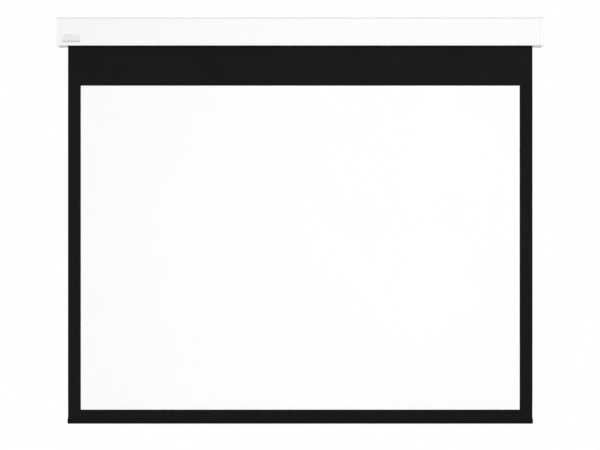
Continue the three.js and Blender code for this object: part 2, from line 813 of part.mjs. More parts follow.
// A saddle on the case's back wall that holds the lead on its way along.
function leadClip() {
  const middle = (headCentreX + leadBend + bushX - leadRise) / 2;
  const from = middle - leadClipWidth / 2;
  const to = middle + leadClipWidth / 2;
  const centre = [leadY, axisZ];
  const baseTop = rebateBottom - caseWall - gap;
  const baseFront = innerBack - gap - leadClipWall;
  const eye = leadDiameter / 2 + gap;
  const ring = rod('x', from, to, centre, eye + leadClipWall, { sides: smallSides });
  const base = block([from, baseFront, baseTop - leadClipBase], [to, innerBack - gap, baseTop]);
  const neck = block([from, leadY, axisZ - eye], [to, baseFront + leadClipWall / 2, axisZ]);
  return ring.add(neck).add(base)
    .subtract(rod('x', from - overrun, to + overrun, centre, eye, { sides: smallSides }));
}

// Wall bracket

function clampScrewShape(x, margin) {
  const shank = clampShank / 2 + margin;
  const head = clampHead / 2 + margin;
  const centre = [x, channelY];
  const top = caseTop;
  const neck = top - clampHead / 2 + clampShank / 2;
  const body = rod('z', top - clampLength - margin, top + margin, centre, shank, { sides: smallSides });
  return body.add(rod('z', neck, top, centre, shank, { endRadius: head, sides: smallSides }));
}

function clampScrew(x) {
  const drive = [[driveSlotWidth, clampShank], [clampShank, driveSlotWidth]].map(([wide, tall]) => block(
    [x - wide / 2, channelY - tall / 2, caseTop - driveSlotDepth],
    [x + wide / 2, channelY + tall / 2, caseTop + overrun]));
  return clampScrewShape(x, 0).subtract(drive[0]).subtract(drive[1]);
}

function wallBracket(x) {
  const profile = [
    [0, caseTop - bracketBackLeg],
    [0, caseTop, bracketThickness],
    [-bracketTopLeg, caseTop],
    [-bracketTopLeg, caseTop - bracketThickness],
    [-bracketThickness, caseTop - bracketThickness],
    [-bracketThickness, caseTop - bracketBackLeg],
  ];
  let bracket = bar(outline(profile), x - bracketWidth / 2, x + bracketWidth / 2);
  for (const side of [-1, 1]) {
    const holeX = x + side * bracketHoleSpacing / 2;
    const wallHole = rod('y', -bracketThickness - overrun, overrun, [0, 0], bracketHole / 2,
      { sides: smallSides });
    bracket = bracket.subtract(
      wallHole.translate([holeX, 0, caseTop - bracketBackLeg + wallHoleRise]));
    bracket = bracket.subtract(rod('z', caseTop - bracketThickness - overrun, caseTop + overrun,
      [holeX, ceilingHoleInset - bracketTopLeg], bracketHole / 2, { sides: smallSides }));
  }
  return bracket.subtract(clampScrewShape(x, gap));
}

function slideNut(x) {
  const half = channelWidth / 2 - gap;
  const top = rebateCeiling - gap;
  const nut = block(
    [x - nutPlateLength / 2, channelY - half, top - nutPlateHeight],
    [x + nutPlateLength / 2, channelY + half, top]);
  return nut.subtract(rod('z', top - nutPlateHeight - overrun, top + overrun, [x, channelY],
    clampShank / 2 + gap, { sides: smallSides }));
}

// Weight bar and hem

const onBar = [clothY, barZ];

function barTube() {
  return rod('x', -clothHalf, clothHalf, onBar, barRadius)
    .subtract(rod('x', -clothHalf - overrun, clothHalf + overrun, onBar, barRadius - barWall));
}

// The right-hand plug: a flat head as wide as the bar and a spigot in its bore.
function barPlug() {
  const from = clothHalf + gap;
  const to = from + plugHeadLength;
  const head = rod('x', from, to, onBar, barRadius);
  return head.add(rod('x', from - plugSpigotLength, from + gap, onBar, barRadius - barWall - gap));
}

// A drop-shaped outline: round under the bar, drawn together at its top.
function dropOutline(radius, top, halfTop) {
  const reach = Math.hypot(top - barZ, halfTop);
  const lean = Math.acos(radius / reach) + Math.atan2(halfTop, top - barZ);
  const from = Math.PI / 2 + lean;
  const sweep = 2 * Math.PI - 2 * lean;
  const points = Array.from({ length: turnSteps + 1 }, (_, step) =>
    new THREE.Vector2(...polar(radius, from + sweep * step / turnSteps, onBar)));
  points.push(new THREE.Vector2(clothY + halfTop, top), new THREE.Vector2(clothY - halfTop, top));
  return points;
}

function hemPocket() {
  const halfTop = hemThickness + gap;
  const outer = dropOutline(hemOuter, hemTop, halfTop);
  const inner = dropOutline(hemInner, hemTop - hemThickness, gap);
  return bar(outer, -clothHalf, clothHalf, inner);
}

// Cloth

const backingFront = clothY - backingThickness / 2;

function backingSheet() {
  return block(
    [-clothHalf, backingFront, hemTop + gap],
    [clothHalf, clothY + backingThickness / 2, axisZ - gap]);
}

function viewingSurface() {
  return block(
    [-viewingWidth / 2, backingFront - faceThickness, pictureBottom],
    [viewingWidth / 2, backingFront, pictureTop]);
}

function nameBadge() {
  const left = -shellHalf + badgeInset;
  const low = caseBottom + badgeRise;
  const corners = outline([
    [left, low, badgeFootRadius],
    [left + badgeWidth, low, badgeFootRadius],
    [left + badgeWidth, low + badgeHeight, badgeRadius],
    [left, low + badgeHeight, badgeRadius],
  ]);
  const geometry = extruded(corners, badgeThickness);
  geometry.rotateX(Math.PI / 2);
  return solidOf(geometry.translate(0, caseFront - gap, 0));
}

place('case_shell', caseShell(), 'casePaint');
place('bottom_cover', bottomCover(), 'casePaint');
place('left_end_cap', endCap(), 'capPlastic');
place('right_end_cap', mirrored(endCap()), 'capPlastic');
place('motor_bracket_plate', motorPlate(), 'zincSteel');
place('idler_bracket_plate', idlerPlate(), 'zincSteel');
ports.forEach((port, index) => {
  place(`end_screw_left_${index + 1}`, endScrew(port), 'zincSteel');
  place(`end_screw_right_${index + 1}`, mirrored(endScrew(port)), 'zincSteel');
});
place('cover_screw_left', coverScrewShape(-coverScrewX, 0), 'zincSteel');
place('cover_screw_right', coverScrewShape(coverScrewX, 0), 'zincSteel');
place('name_badge', nameBadge(), 'badgePlastic');

place('motor_head', motorHead(), 'blackPlastic');
place('head_clip', headClip(), 'zincSteel');
place('limit_screw_up', limitScrew(limitScrewYs[0]), 'brass');
place('limit_screw_down', limitScrew(limitScrewYs[1]), 'brass');
place('motor_casing', motorCasing(), 'motorSteel');
place('limit_switch_unit', rollerRod(limitUnitFrom, limitUnitFrom + limitUnitLength, coreRadius), 'greyPlastic');
place('run_capacitor', rollerRod(capacitorFrom, capacitorFrom + capacitorLength, capacitorDiameter / 2),
  'capacitorCan');
place('motor_can', rollerRod(motorCanFrom, motorCanFrom + motorCanLength, coreRadius), 'motorSteel');
place('gearbox_cartridge', gearboxCartridge(), 'greyPlastic');
place('motor_lead', motorLead(), 'rubber');
place('lead_clip', leadClip(), 'whiteNylon');
place('cable_bush', cableBush(), 'rubber');

place('roller_tube', rollerTube(), 'rollerSteel');
place('roller_keder', rod('x', -clothHalf, clothHalf, kederCentre, kederDiameter / 2, { sides: smallSides }),
  'whiteNylon');
place('fabric_wraps', fabricWraps(), 'blackCloth');
place('motor_crown', motorCrown(), 'greyPlastic');
place('drive_shaft', driveShaft(), 'rollerSteel');
place('drive_wheel', driveWheel(), 'greyPlastic');
place('drive_clip', driveClip(), 'zincSteel');
place('idler_plug', idlerPlug(), 'greyPlastic');
place('idler_bearing', idlerBearing(), 'zincSteel');
place('idler_axle', idlerAxle(), 'zincSteel');
place('axle_nut', axleNut(), 'zincSteel');

for (const [side, x] of [['left', -bracketX], ['right', bracketX]]) {
  place(`wall_bracket_${side}`, wallBracket(x), 'zincSteel');
  place(`clamp_screw_${side}`, clampScrew(x), 'zincSteel');
  place(`slide_nut_${side}`, slideNut(x), 'zincSteel');
}

place('black_backing_sheet', backingSheet(), 'blackCloth');
place('white_viewing_surface', viewingSurface(), 'whiteCloth');
place('hem_pocket', hemPocket(), 'blackCloth');
place('bar_tube', barTube(), 'zincSteel');
place('bar_plug_right', barPlug(), 'blackPlastic');
place('bar_plug_left', mirrored(barPlug()), 'blackPlastic');

export default group;
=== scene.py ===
# A motorized projector screen, let down: a long white case with the roller and its tubular motor,
# the projection cloth with its black borders, and the weight bar in the hem.
# Metres. +X to the viewer's right, +Y towards the wall, +Z up, origin on the case's flat back.

import json
import math
from contextlib import contextmanager

import bmesh
import bpy
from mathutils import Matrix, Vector, noise
from mathutils.geometry import interpolate_bezier

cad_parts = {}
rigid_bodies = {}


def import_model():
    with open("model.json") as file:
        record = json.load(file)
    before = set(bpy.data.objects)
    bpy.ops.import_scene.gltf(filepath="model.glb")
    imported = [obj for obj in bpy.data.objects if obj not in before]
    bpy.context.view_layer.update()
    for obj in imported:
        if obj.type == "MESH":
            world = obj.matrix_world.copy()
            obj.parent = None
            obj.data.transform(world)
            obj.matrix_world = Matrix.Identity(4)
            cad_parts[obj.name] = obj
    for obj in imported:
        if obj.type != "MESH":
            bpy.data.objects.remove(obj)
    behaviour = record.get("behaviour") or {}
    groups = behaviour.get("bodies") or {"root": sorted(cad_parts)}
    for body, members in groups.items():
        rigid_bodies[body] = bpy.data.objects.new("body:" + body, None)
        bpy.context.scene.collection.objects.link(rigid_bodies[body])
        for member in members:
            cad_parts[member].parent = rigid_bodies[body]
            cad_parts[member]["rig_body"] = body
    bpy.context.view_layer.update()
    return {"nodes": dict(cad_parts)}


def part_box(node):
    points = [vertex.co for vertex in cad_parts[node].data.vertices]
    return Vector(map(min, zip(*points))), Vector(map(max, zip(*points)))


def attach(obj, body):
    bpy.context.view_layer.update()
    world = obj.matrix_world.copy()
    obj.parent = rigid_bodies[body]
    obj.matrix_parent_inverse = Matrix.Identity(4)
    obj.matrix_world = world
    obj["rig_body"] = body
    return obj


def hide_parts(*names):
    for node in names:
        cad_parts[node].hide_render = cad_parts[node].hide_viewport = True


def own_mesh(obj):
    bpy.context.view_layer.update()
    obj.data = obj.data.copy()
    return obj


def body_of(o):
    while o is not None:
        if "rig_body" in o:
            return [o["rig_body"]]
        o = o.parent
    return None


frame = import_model()

MM = 0.001
GAP = 0.3 * MM  # between pieces that touch
OVERRUN = 1 * MM  # of a cutter past the face it cuts
EDGE = 0.3 * MM  # the small radius left on an edge
WELD = 0.001 * MM  # points closer than this are one

# Case
WALL = 2 * MM
FRONT_ROUND = 12 * MM
LIP_ROUND = 3 * MM
BACK_ROUND = 2 * MM
SLOT_SETBACK = 8 * MM  # of the cloth slot from the case front
SLOT_WIDTH = 28 * MM
LIP_RISE = 8 * MM
LEDGE_DEPTH = 12 * MM
REBATE = 3.3 * MM
REBATE_DROP = 43.3 * MM  # of the rebate's foot below the case top
REBATE_DEPTH = 57.3 * MM  # of the rebate's front edge from the case back
CHANNEL_SETBACK = 30 * MM
CHANNEL_MOUTH = 10 * MM
CHANNEL_WIDTH = 18 * MM
CHANNEL_DEPTH = 6 * MM
PORT_RADIUS = 4 * MM
PORT_BORE = 2 * MM
COVER_FLANGE = 12 * MM
COVER_TONGUE = 8 * MM
COVER_SCREW_CLEARANCE = 0.3 * MM
ACCESS_RADIUS = 3 * MM
BUSH_HOLE = 5.3 * MM
CREASE_RISE = 10.5 * MM  # of the fine crease above the case underside
CREASE = 0.8 * MM

# Caps and screws
CAP_PROUD = 1.5 * MM
CAP_WALL = 2.5 * MM
CAP_EDGE = 1.5 * MM
BOSS_RADIUS = 5.65 * MM
END_HEAD = 3.75 * MM
END_HEAD_HEIGHT = 2.4 * MM
END_CROWN = 1.3 * MM
END_SHANK = 1.7 * MM
END_LENGTH = 38.4 * MM
COVER_HEAD = 3.8 * MM
COVER_SHANK = 2 * MM
COVER_LENGTH = 7 * MM
CLAMP_HEAD = 5 * MM
CLAMP_SHANK = 2.5 * MM
CLAMP_LENGTH = 10.4 * MM
CROSS_REACH = 0.6  # of the head's radius
CROSS_WIDTH = 1.1 * MM
CROSS_DEPTH = 1.5 * MM
CROSS_FOOT = (0.45, 0.7, 1)  # of the cross's length and width at its foot
THREAD_PITCH = 1.4 * MM
THREAD_DEPTH = 0.35 * MM
THREAD_RINGS = 4  # of points to a pitch

# Badge
BADGE_SHOULDER = 9 * MM
BADGE_FOOT = 2.4 * MM
BADGE_EDGE = 0.45 * MM
BADGE_RIM = 1.4 * MM
BADGE_DISH = 0.25 * MM
BADGE_SHADE_BAND = 7 * MM  # height of the band of painted shade along the badge's foot

# Wall brackets
PLATE = 3 * MM
PLATE_CORNER = 5 * MM
FIXING_HOLE = 3 * MM
FIXING_SPACING = 36 * MM
WALL_HOLE_RISE = 18 * MM
CEILING_HOLE_INSET = 9 * MM

# Cloth, hem and bar
CLOTH = 0.5 * MM
COATING = 0.3 * MM
COATING_GAP = 0.02 * MM
CELL = 11 * MM  # of the cloth's mesh
DRAPE_START = 300 * MM  # over which the drape begins below the roller
DRAPE_END = 85 * MM  # over which it dies out above the hem's flaps
RIPPLE = 0.45 * MM
RIPPLE_LENGTH = 610 * MM
RIPPLE_LEAN = 0.35  # waves a metre of height
UNEVEN = 0.5 * MM
UNEVEN_LENGTH = 330 * MM
CURL = 2.2 * MM
CURL_LENGTH = 420 * MM  # over which the curl grows and fades along the edge
CURL_WIDTH = 90 * MM
SEAM_DROP = 91 * MM  # of the weld in the black drop, below the case
SEAM_HALF = 5 * MM
SEAM_STEP = 0.45 * MM
SEAM_RAMP = 0.6 * MM
BAR_WALL = 1.2 * MM
PLUG_STAND = 1.3 * MM  # of the plug's head past the hem
HEM_FLAP = 6 * MM  # of the welded flap past the top of the pocket
HEM_GAP = 0.05 * MM  # between the cloth and its flaps
HEM_STEPS = 30
HEM_LEAN = math.radians(22)  # of the cloth where it meets the bar
HEM_PULL = 5 * MM  # length of the handles of its side's curve
HEM_SLACK = 0.5 * MM
SLACK_LENGTH = 130 * MM
HEM_FADE = 8 * MM
WRAP_TURNS = 2.25
WRAP_PITCH = 0.9 * MM
WRAP_STEPS = 40  # to a turn
LEAST_TURN = 3  # steps of an arc, and one more for each bit of its radius
TURN_BIT = 1.5 * MM


# Finding and shaping

def new_object(name, data):
    """A new object in the scene."""
    thing = bpy.data.objects.new(name, data)
    bpy.context.scene.collection.objects.link(thing)
    return thing


def only(piece):
    """Makes one piece the selected and active object."""
    bpy.ops.object.select_all(action="DESELECT")
    piece.select_set(True)
    bpy.context.view_layer.objects.active = piece


@contextmanager
def editing(piece, kind="FACE", start="DESELECT"):
    """Edit mode on one piece, with nothing of it selected at the start, or all with SELECT."""
    only(piece)
    bpy.ops.object.mode_set(mode="EDIT")
    bpy.ops.mesh.select_mode(type=kind)
    bpy.ops.mesh.select_all(action=start)
    yield
    bpy.ops.object.mode_set(mode="OBJECT")


def pick(piece, kind, test):
    """Selects the parts of a piece in edit mode that pass a test: an EDGE by its two ends, and a
    FACE by its middle and its normal."""
    bpy.ops.mesh.select_mode(type=kind)
    bpy.ops.mesh.select_all(action="DESELECT")
    mesh = bmesh.from_edit_mesh(piece.data)
    mesh.normal_update()
    if kind == "EDGE":
        for edge in mesh.edges:
            edge.select_set(test(edge.verts[0].co, edge.verts[1].co))
    else:
        for face in mesh.faces:
            face.select_set(test(face.calc_center_median(), face.normal))
    mesh.select_flush_mode()
    bmesh.update_edit_mesh(piece.data)


def settle(name):
    """Names the primitive just added and puts its place and size into its mesh."""
    piece = bpy.context.object
    piece.name = piece.data.name = name
    bpy.ops.object.transform_apply(location=True, rotation=True, scale=True)
    return piece


ALONG = {"x": Vector((1, 0, 0)), "y": Vector((0, 1, 0)), "z": Vector((0, 0, 1))}
OUTWARD = {"x": Vector((0, 0, 1)), "y": Vector((0, 0, 1)), "z": Vector((0, 1, 0))}
TURN_FROM_Z = {"x": (0, math.pi / 2, 0), "y": (-math.pi / 2, 0, 0), "z": (0, 0, 0)}


def rod(name, axis, start, length, radius, end_radius=None, sides=48):
    """A cylinder, or a cone with another end radius, from a start along +X, +Y or +Z."""
    bpy.ops.mesh.primitive_cone_add(
        vertices=sides, radius1=radius, radius2=radius if end_radius is None else end_radius,
        depth=length, location=Vector(start) + ALONG[axis] * length / 2,
        rotation=TURN_FROM_Z[axis])
    return settle(name)


def clear_slivers(piece):
    """Closes up the faces without area that a cut or a bevel can leave."""
    with editing(piece, "VERT", "SELECT"):
        bpy.ops.mesh.remove_doubles(threshold=WELD)
        bpy.ops.mesh.dissolve_degenerate(threshold=WELD)


def modify(piece, kind, **settings):
    """Adds a modifier with its settings and applies it."""
    modifier = piece.modifiers.new("finish", kind)
    for name, value in settings.items():
        setattr(modifier, name, value)
    only(piece)
    bpy.ops.object.modifier_apply(modifier=modifier.name)


def cut(piece, other, operation="DIFFERENCE"):
    """Cuts a piece by another, or joins them with UNION, and removes the other."""
    modify(piece, "BOOLEAN", operation=operation, solver="EXACT", object=other)
    bpy.data.objects.remove(other)
    clear_slivers(piece)


def rounded(corners):
    """The points of an outline of corners, each (across, up, radius), or (across, up) if sharp."""
    points = []
    for index, (across, up, *radii) in enumerate(corners):
        corner = Vector((across, up))
        radius = radii[0] if radii else 0
        if radius == 0:
            points.append(corner)
            continue
        to_last = (Vector(corners[index - 1][:2]) - corner).normalized()
        to_next = (Vector(corners[(index + 1) % len(corners)][:2]) - corner).normalized()
        half = math.acos(max(-1, min(1, to_last.dot(to_next)))) / 2
        centre = corner + (to_last + to_next).normalized() * radius / math.sin(half)
        first = corner + to_last * radius / math.tan(half) - centre
        last = corner + to_next * radius / math.tan(half) - centre
        sweep = math.atan2(first.x * last.y - first.y * last.x, first.dot(last))
        steps = LEAST_TURN + int(radius / TURN_BIT)
        for step in range(steps + 1):
            turn = sweep * step / steps
            points.append(centre + Vector((
                first.x * math.cos(turn) - first.y * math.sin(turn),
                first.x * math.sin(turn) + first.y * math.cos(turn))))
    return points


def draw(name, places, closed=True):
    """Draws a line by extruding a vertex from place to place, and fills it if it is closed."""
    bpy.ops.mesh.primitive_plane_add(size=MM, location=places[0])
    piece = settle(name)
    with editing(piece, "VERT", "SELECT"):
        bpy.ops.mesh.merge(type="CENTER")
        for last, place in zip(places, places[1:]):
            bpy.ops.mesh.extrude_vertices_move(TRANSFORM_OT_translate={"value": place - last})
        if closed:
            mesh = bmesh.from_edit_mesh(piece.data)
            for vert in mesh.verts:
                vert.select_set(len(vert.link_edges) == 1)
            bmesh.update_edit_mesh(piece.data)
            bpy.ops.mesh.edge_face_add()
    return piece


def draw_across(name, section, x, closed=True):
    """Draws a line of (y, z) in a plane across X."""
    return draw(name, [Vector((x, y, z)) for y, z in section], closed)


def tidy_normals():
    bpy.ops.mesh.select_all(action="SELECT")
    bpy.ops.mesh.remove_doubles(threshold=WELD)
    bpy.ops.mesh.normals_make_consistent(inside=False)


def extrude(piece, reach, bores=()):
    """Fills a drawn section, around any bores of (y, z, radius) across X, and extrudes it."""
    x = piece.data.vertices[0].co.x
    with editing(piece, "EDGE"):
        for y, z, radius in bores:
            bpy.ops.mesh.primitive_circle_add(
                vertices=16, radius=radius, fill_type="NOTHING", location=(x, y, z),
                rotation=TURN_FROM_Z["x"])
        bpy.ops.mesh.select_all(action="SELECT")
        if bores:
            bpy.ops.mesh.fill(use_beauty=True)
        else:
            bpy.ops.mesh.edge_face_add()
        bpy.ops.mesh.select_all(action="SELECT")
        bpy.ops.mesh.extrude_region_move(TRANSFORM_OT_translate={"value": reach})
        tidy_normals()
    return piece


def profile(name, section, start, end, bores=()):
    """A piece with the same section of (y, z) from one x to another."""
    return extrude(draw_across(name, section, start), (end - start, 0, 0), bores)


def turned(name, axis, centre, corners, bored=False, sides=64):
    """A turned piece: half its section, as corners of (along, radius, rounding), spun about an
    axis through a centre. Without a bore the section is closed on the axis."""
    if not bored:
        corners = [(corners[0][0], 0), *corners, (corners[-1][0], 0)]
    places = [Vector(centre) + ALONG[axis] * along + OUTWARD[axis] * out
              for along, out in rounded(corners)]
    piece = draw(name, places, closed=bored)
    with editing(piece, "EDGE", "SELECT"):
        bpy.ops.mesh.spin(steps=sides, angle=2 * math.pi, center=centre, axis=ALONG[axis])
        tidy_normals()
    return piece


def bevel(piece, test, radius, segments):
    """Rounds the edges whose two ends pass a test."""
    with editing(piece, "EDGE"):
        pick(piece, "EDGE", test)
        bpy.ops.mesh.bevel(offset=radius, segments=segments, affect="EDGES", clamp_overlap=True)


def soften(piece):
    """Takes the sharpness off every edge, as tumbling, plating or a mould does."""
    modify(piece, "BEVEL", width=EDGE, segments=2, limit_method="ANGLE",
           angle_limit=math.radians(40), use_clamp_overlap=True)
    clear_slivers(piece)


def smooth(piece):
    """Smooth shading on the rounds, with the flat faces kept flat."""
    only(piece)
    bpy.ops.object.shade_smooth_by_angle(angle=math.radians(35))
    modify(piece, "WEIGHTED_NORMAL", keep_sharp=True)


def copied(piece, name, move=(0, 0, 0), turn=(0, 0, 0), mirror=False):
    """A copy with a mesh of its own, turned, moved or mirrored across X."""
    only(piece)
    bpy.ops.object.duplicate(linked=False)
    copy = bpy.context.object
    copy.name = copy.data.name = name
    copy.location = move
    copy.rotation_euler = turn
    copy.scale.x = -1 if mirror else 1
    bpy.ops.object.transform_apply(location=True, rotation=True, scale=True)
    if mirror:
        with editing(copy, start="SELECT"):
            bpy.ops.mesh.normals_make_consistent(inside=False)
    return copy


def middle(node):
    low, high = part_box(node)
    return (low + high) / 2


def in_plan(node, z):
    """The middle of a CAD piece as seen from above, at a height."""
    place = middle(node)
    place.z = z
    return place


def axis_of(node):
    """A point at x = 0 on the axis of a round CAD piece that lies along X."""
    place = middle(node)
    place.x = 0
    return place


def span(node):
    """Where a round CAD piece along X starts and ends, and its radius."""
    low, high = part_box(node)
    return low.x, high.x, (high.z - low.z) / 2


# Finishes

PATTERN_SPAN = (0.3, 0.7)
THREAD = 1.5 * MM  # between threads; real ones lie 0.5 mm apart, too fine to show in a near view


def linear(colour):
    """An sRGB hex colour as the linear one that a shader takes."""
    shares = [int(colour[start:start + 2], 16) / 255 for start in (0, 2, 4)]
    return (*[s / 12.92 if s <= 0.04045 else ((s + 0.055) / 1.055) ** 2.4 for s in shares], 1)


def add(tree, kind, inputs, **settings):
    """Adds a node with its settings, and its inputs as values or as the outputs that feed them."""
    node = tree.nodes.new(kind)
    for name, value in settings.items():
        setattr(node, name, value)
    for key, value in inputs.items():
        if isinstance(value, bpy.types.NodeSocket):
            tree.links.new(value, node.inputs[key])
        else:
            node.inputs[key].default_value = value
    return node


def finish(name, colour, roughness, metallic=0, ior=1.5, specular=0.5):
    """A new material with the shader's constants set. Returns it with its tree and shader."""
    material = bpy.data.materials.new(name)
    material.use_nodes = True
    tree = material.node_tree
    shader = tree.nodes["Principled BSDF"]
    constants = {
        "Base Color": linear(colour), "Roughness": roughness, "Metallic": metallic, "IOR": ior,
        "Specular IOR Level": specular}
    for key, value in constants.items():
        shader.inputs[key].default_value = value
    return material, tree, shader


def own_place(tree):
    """A point's place on its own object, in metres."""
    return add(tree, "ShaderNodeTexCoord", {}).outputs["Object"]


def cut_place(tree):
    """A point's place in metres on the cloth as it was cut."""
    return add(tree, "ShaderNodeUVMap", {}, uv_map="cloth").outputs["UV"]


def relief(tree, shader, pattern, height):
    """Raises the surface by a pattern of 0 to 1 times a height."""
    bump = add(tree, "ShaderNodeBump", {"Height": pattern, "Distance": height, "Strength": 1})
    tree.links.new(bump.outputs["Normal"], shader.inputs["Normal"])


def grain(tree, shader, size, height, stretch=(1, 1, 1)):
    """A fine uneven relief: grains of one size, raised by a height. Returns the pattern's value."""
    lie = add(tree, "ShaderNodeMapping", {"Vector": own_place(tree), "Scale": stretch})
    pattern = add(tree, "ShaderNodeTexNoise", {
        "Vector": lie.outputs["Vector"], "Scale": 1 / size, "Detail": 2, "Roughness": 0.6})
    relief(tree, shader, pattern.outputs["Fac"], height)
    return pattern.outputs["Fac"]


def vary(tree, shader, pattern, spans):
    """Drives numbers and colours of the shader, each from one value to another, by a pattern whose
    own values mostly lie in the middle of 0 to 1."""
    for socket, (low, high) in spans.items():
        if isinstance(low, str):
            ramp = add(tree, "ShaderNodeValToRGB", {"Fac": pattern})
            for stop, place, colour in zip(ramp.color_ramp.elements, PATTERN_SPAN, (low, high)):
                stop.position = place
                stop.color = linear(colour)
            tree.links.new(ramp.outputs["Color"], shader.inputs[socket])
        else:
            spread = add(tree, "ShaderNodeMapRange", {
                "Value": pattern, "From Min": PATTERN_SPAN[0], "From Max": PATTERN_SPAN[1],
                "To Min": low, "To Max": high})
            tree.links.new(spread.outputs["Result"], shader.inputs[socket])


def grained(name, colour, roughness, size, height, spans, stretch=(1, 1, 1), **constants):
    """A finish with one grain, whose pattern also varies some of the shader's inputs."""
    material, tree, shader = finish(name, colour, roughness, **constants)
    vary(tree, shader, grain(tree, shader, size, height, stretch), spans)
    return material


def badge_lacquer(shade_top):
    """Satin silver-grey lacquer, with a darker band of painted shade along the foot, standing in
    for the shade under the plate's lower edge.
    """
    material = grained("satin_grey_lacquer", "E8E8E8", 0.34, 0.5 * MM, 0.004 * MM,
                       {"Roughness": (0.3, 0.4)})
    tree = material.node_tree
    height = add(tree, "ShaderNodeSeparateXYZ", {"Vector": own_place(tree)})
    above = add(
        tree, "ShaderNodeMath", {0: height.outputs["Z"], 1: shade_top}, operation="GREATER_THAN")
    # Below the band's top the grey is darker: painted shade along the badge's foot, not a print.
    foot_shade_mix = add(tree, "ShaderNodeMix", {
        "Factor": above.outputs["Value"], 6: linear("CECECE"), 7: linear("E8E8E8")},
        data_type="RGBA")
    tree.links.new(foot_shade_mix.outputs[2], tree.nodes["Principled BSDF"].inputs["Base Color"])
    return material


def galvanised():
    """Hot-dip zinc on rolled tube: flat crystals of about 7 mm that differ in tone and gloss."""
    material, tree, shader = finish("galvanised_steel_tube", "AEB2B5", 0.42, metallic=1)
    crystals = add(tree, "ShaderNodeTexVoronoi", {
        "Vector": own_place(tree), "Scale": 1 / (7 * MM)})
    tone = add(tree, "ShaderNodeSeparateColor", {"Color": crystals.outputs["Color"]})
    vary(tree, shader, tone.outputs["Red"], {"Base Color": ("A4A8AB", "BCC0C2")})
    vary(tree, shader, tone.outputs["Green"], {"Roughness": (0.34, 0.5)})
    return material


def weave(tree, shader, thread, height):
    """A plain weave under a coating, on the cloth's own UV map in metres: round threads that pass
    over and under. Returns how high the cloth stands, from 0 to 1."""
    place = cut_place(tree)
    # A wave texture of scale 1 has a period of pi / 10 metres.
    scale = math.pi / 10 / thread
    across, down = (add(tree, "ShaderNodeTexWave", {
        "Vector": place, "Scale": scale, "Distortion": 0.3, "Detail": 1},
        bands_direction=direction) for direction in ("X", "Y"))
    over = add(tree, "ShaderNodeTexChecker", {"Vector": place, "Scale": 1 / thread})
    threads = add(tree, "ShaderNodeMix", {
        "Factor": over.outputs["Fac"], 2: across.outputs["Fac"], 3: down.outputs["Fac"]})
    relief(tree, shader, threads.outputs[0], height)
    return threads.outputs[0]


def woven(name, colour, roughness, specular, height, cloud_size, spans):
    """A coated cloth, varied by its threads and by a slow uneven change over it together."""
    material, tree, shader = finish(name, colour, roughness, specular=specular)
    threads = weave(tree, shader, THREAD, height)
    cloud = add(tree, "ShaderNodeTexNoise", {
        "Vector": cut_place(tree), "Scale": 1 / cloud_size, "Detail": 3, "Roughness": 0.5})
    both = add(tree, "ShaderNodeMix", {"Factor": 0.5, 2: threads, 3: cloud.outputs["Fac"]})
    vary(tree, shader, both.outputs[0], spans)
    return material


# The finishes by the name of the record's material slot. Those with a grain state its size and
# height after the roughness, and then what its pattern varies.
finishes = {
    # Satin polyester powder on aluminium: even, with a very slight orange peel of about 1 mm
    "case_paint": grained(
        "satin_powder_coat", "F5F5F5", 0.42, 1.1 * MM, 0.006 * MM,
        {"Roughness": (0.38, 0.46)}),
    # ABS from a spark-eroded mould: a matt white with a fine grain
    "cap_plastic": grained(
        "moulded_white_abs", "F7F7F6", 0.5, 0.6 * MM, 0.012 * MM,
        {"Roughness": (0.46, 0.56)}, ior=1.54),
    "badge_plastic": badge_lacquer(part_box("name_badge")[0].z + BADGE_SHADE_BAND),
    # Bright zinc with a clear passivate: cool grey, faintly clouded
    "zinc_steel": grained(
        "zinc_plated_steel", "C3C8CC", 0.34, 12 * MM, 0.01 * MM,
        {"Base Color": ("B7BCC1", "CDD0D0"), "Roughness": (0.28, 0.42)}, metallic=1),
    "roller_steel": galvanised(),
    # Drawn and oiled tube: darker steel with long fine lines that run along it
    "motor_steel": grained(
        "drawn_steel", "94999D", 0.4, 0.5 * MM, 0.006 * MM,
        {"Roughness": (0.32, 0.48)}, stretch=(0.02, 1, 1), metallic=1),
    # Glass-filled grey nylon: a matt face with short fibres that show as a mottle
    "grey_plastic": grained(
        "glass_filled_nylon", "6E7276", 0.55, 1 * MM, 0.015 * MM,
        {"Base Color": ("686C70", "777B7F")}, ior=1.53),
    # Black ABS or nylon, moulded, with a spark grain
    "black_plastic": grained(
        "moulded_black_plastic", "161618", 0.46, 0.7 * MM, 0.015 * MM,
        {"Roughness": (0.4, 0.54)}, specular=0.35),
    # Free-turning brass, with the tool's fine rings round the screw
    "brass": grained(
        "turned_brass", "C8A45A", 0.28, 0.4 * MM, 0.006 * MM,
        {"Roughness": (0.22, 0.36)}, stretch=(0.05, 0.05, 1), metallic=1),
    # Drawn aluminium can, satin, with faint lines along it
    "capacitor_can": grained(
        "drawn_aluminium_can", "D6D9DB", 0.34, 0.6 * MM, 0.004 * MM,
        {"Roughness": (0.28, 0.4)}, stretch=(0.03, 1, 1), metallic=1),
    # Natural nylon: creamy white, faintly waxy and cloudy
    "white_nylon": grained(
        "natural_nylon", "E9E6DC", 0.48, 3 * MM, 0.01 * MM,
        {"Base Color": ("E3DFD3", "EDEAE2")}, ior=1.53),
    # Black rubber and soft PVC sheath, dusty matt
    "rubber": grained(
        "black_rubber", "252526", 0.72, 1.5 * MM, 0.02 * MM,
        {"Roughness": (0.64, 0.8)}, ior=1.52, specular=0.3),
    # Glass-fibre cloth coated with matt black PVC
    "black_cloth": woven(
        "black_pvc_cloth", "0B0B0B", 0.5, 0.07, 0.1 * MM, 260 * MM,
        {"Base Color": ("060606", "101010"), "Roughness": (0.56, 0.46)}),
    # Matt white projection coating, embossed by the weave under it
    "white_cloth": woven(
        "matt_white_coating", "FBFBFB", 0.88, 0.2, 0.05 * MM, 420 * MM,
        {"Base Color": ("F9F9F9", "FDFDFD")}),
}


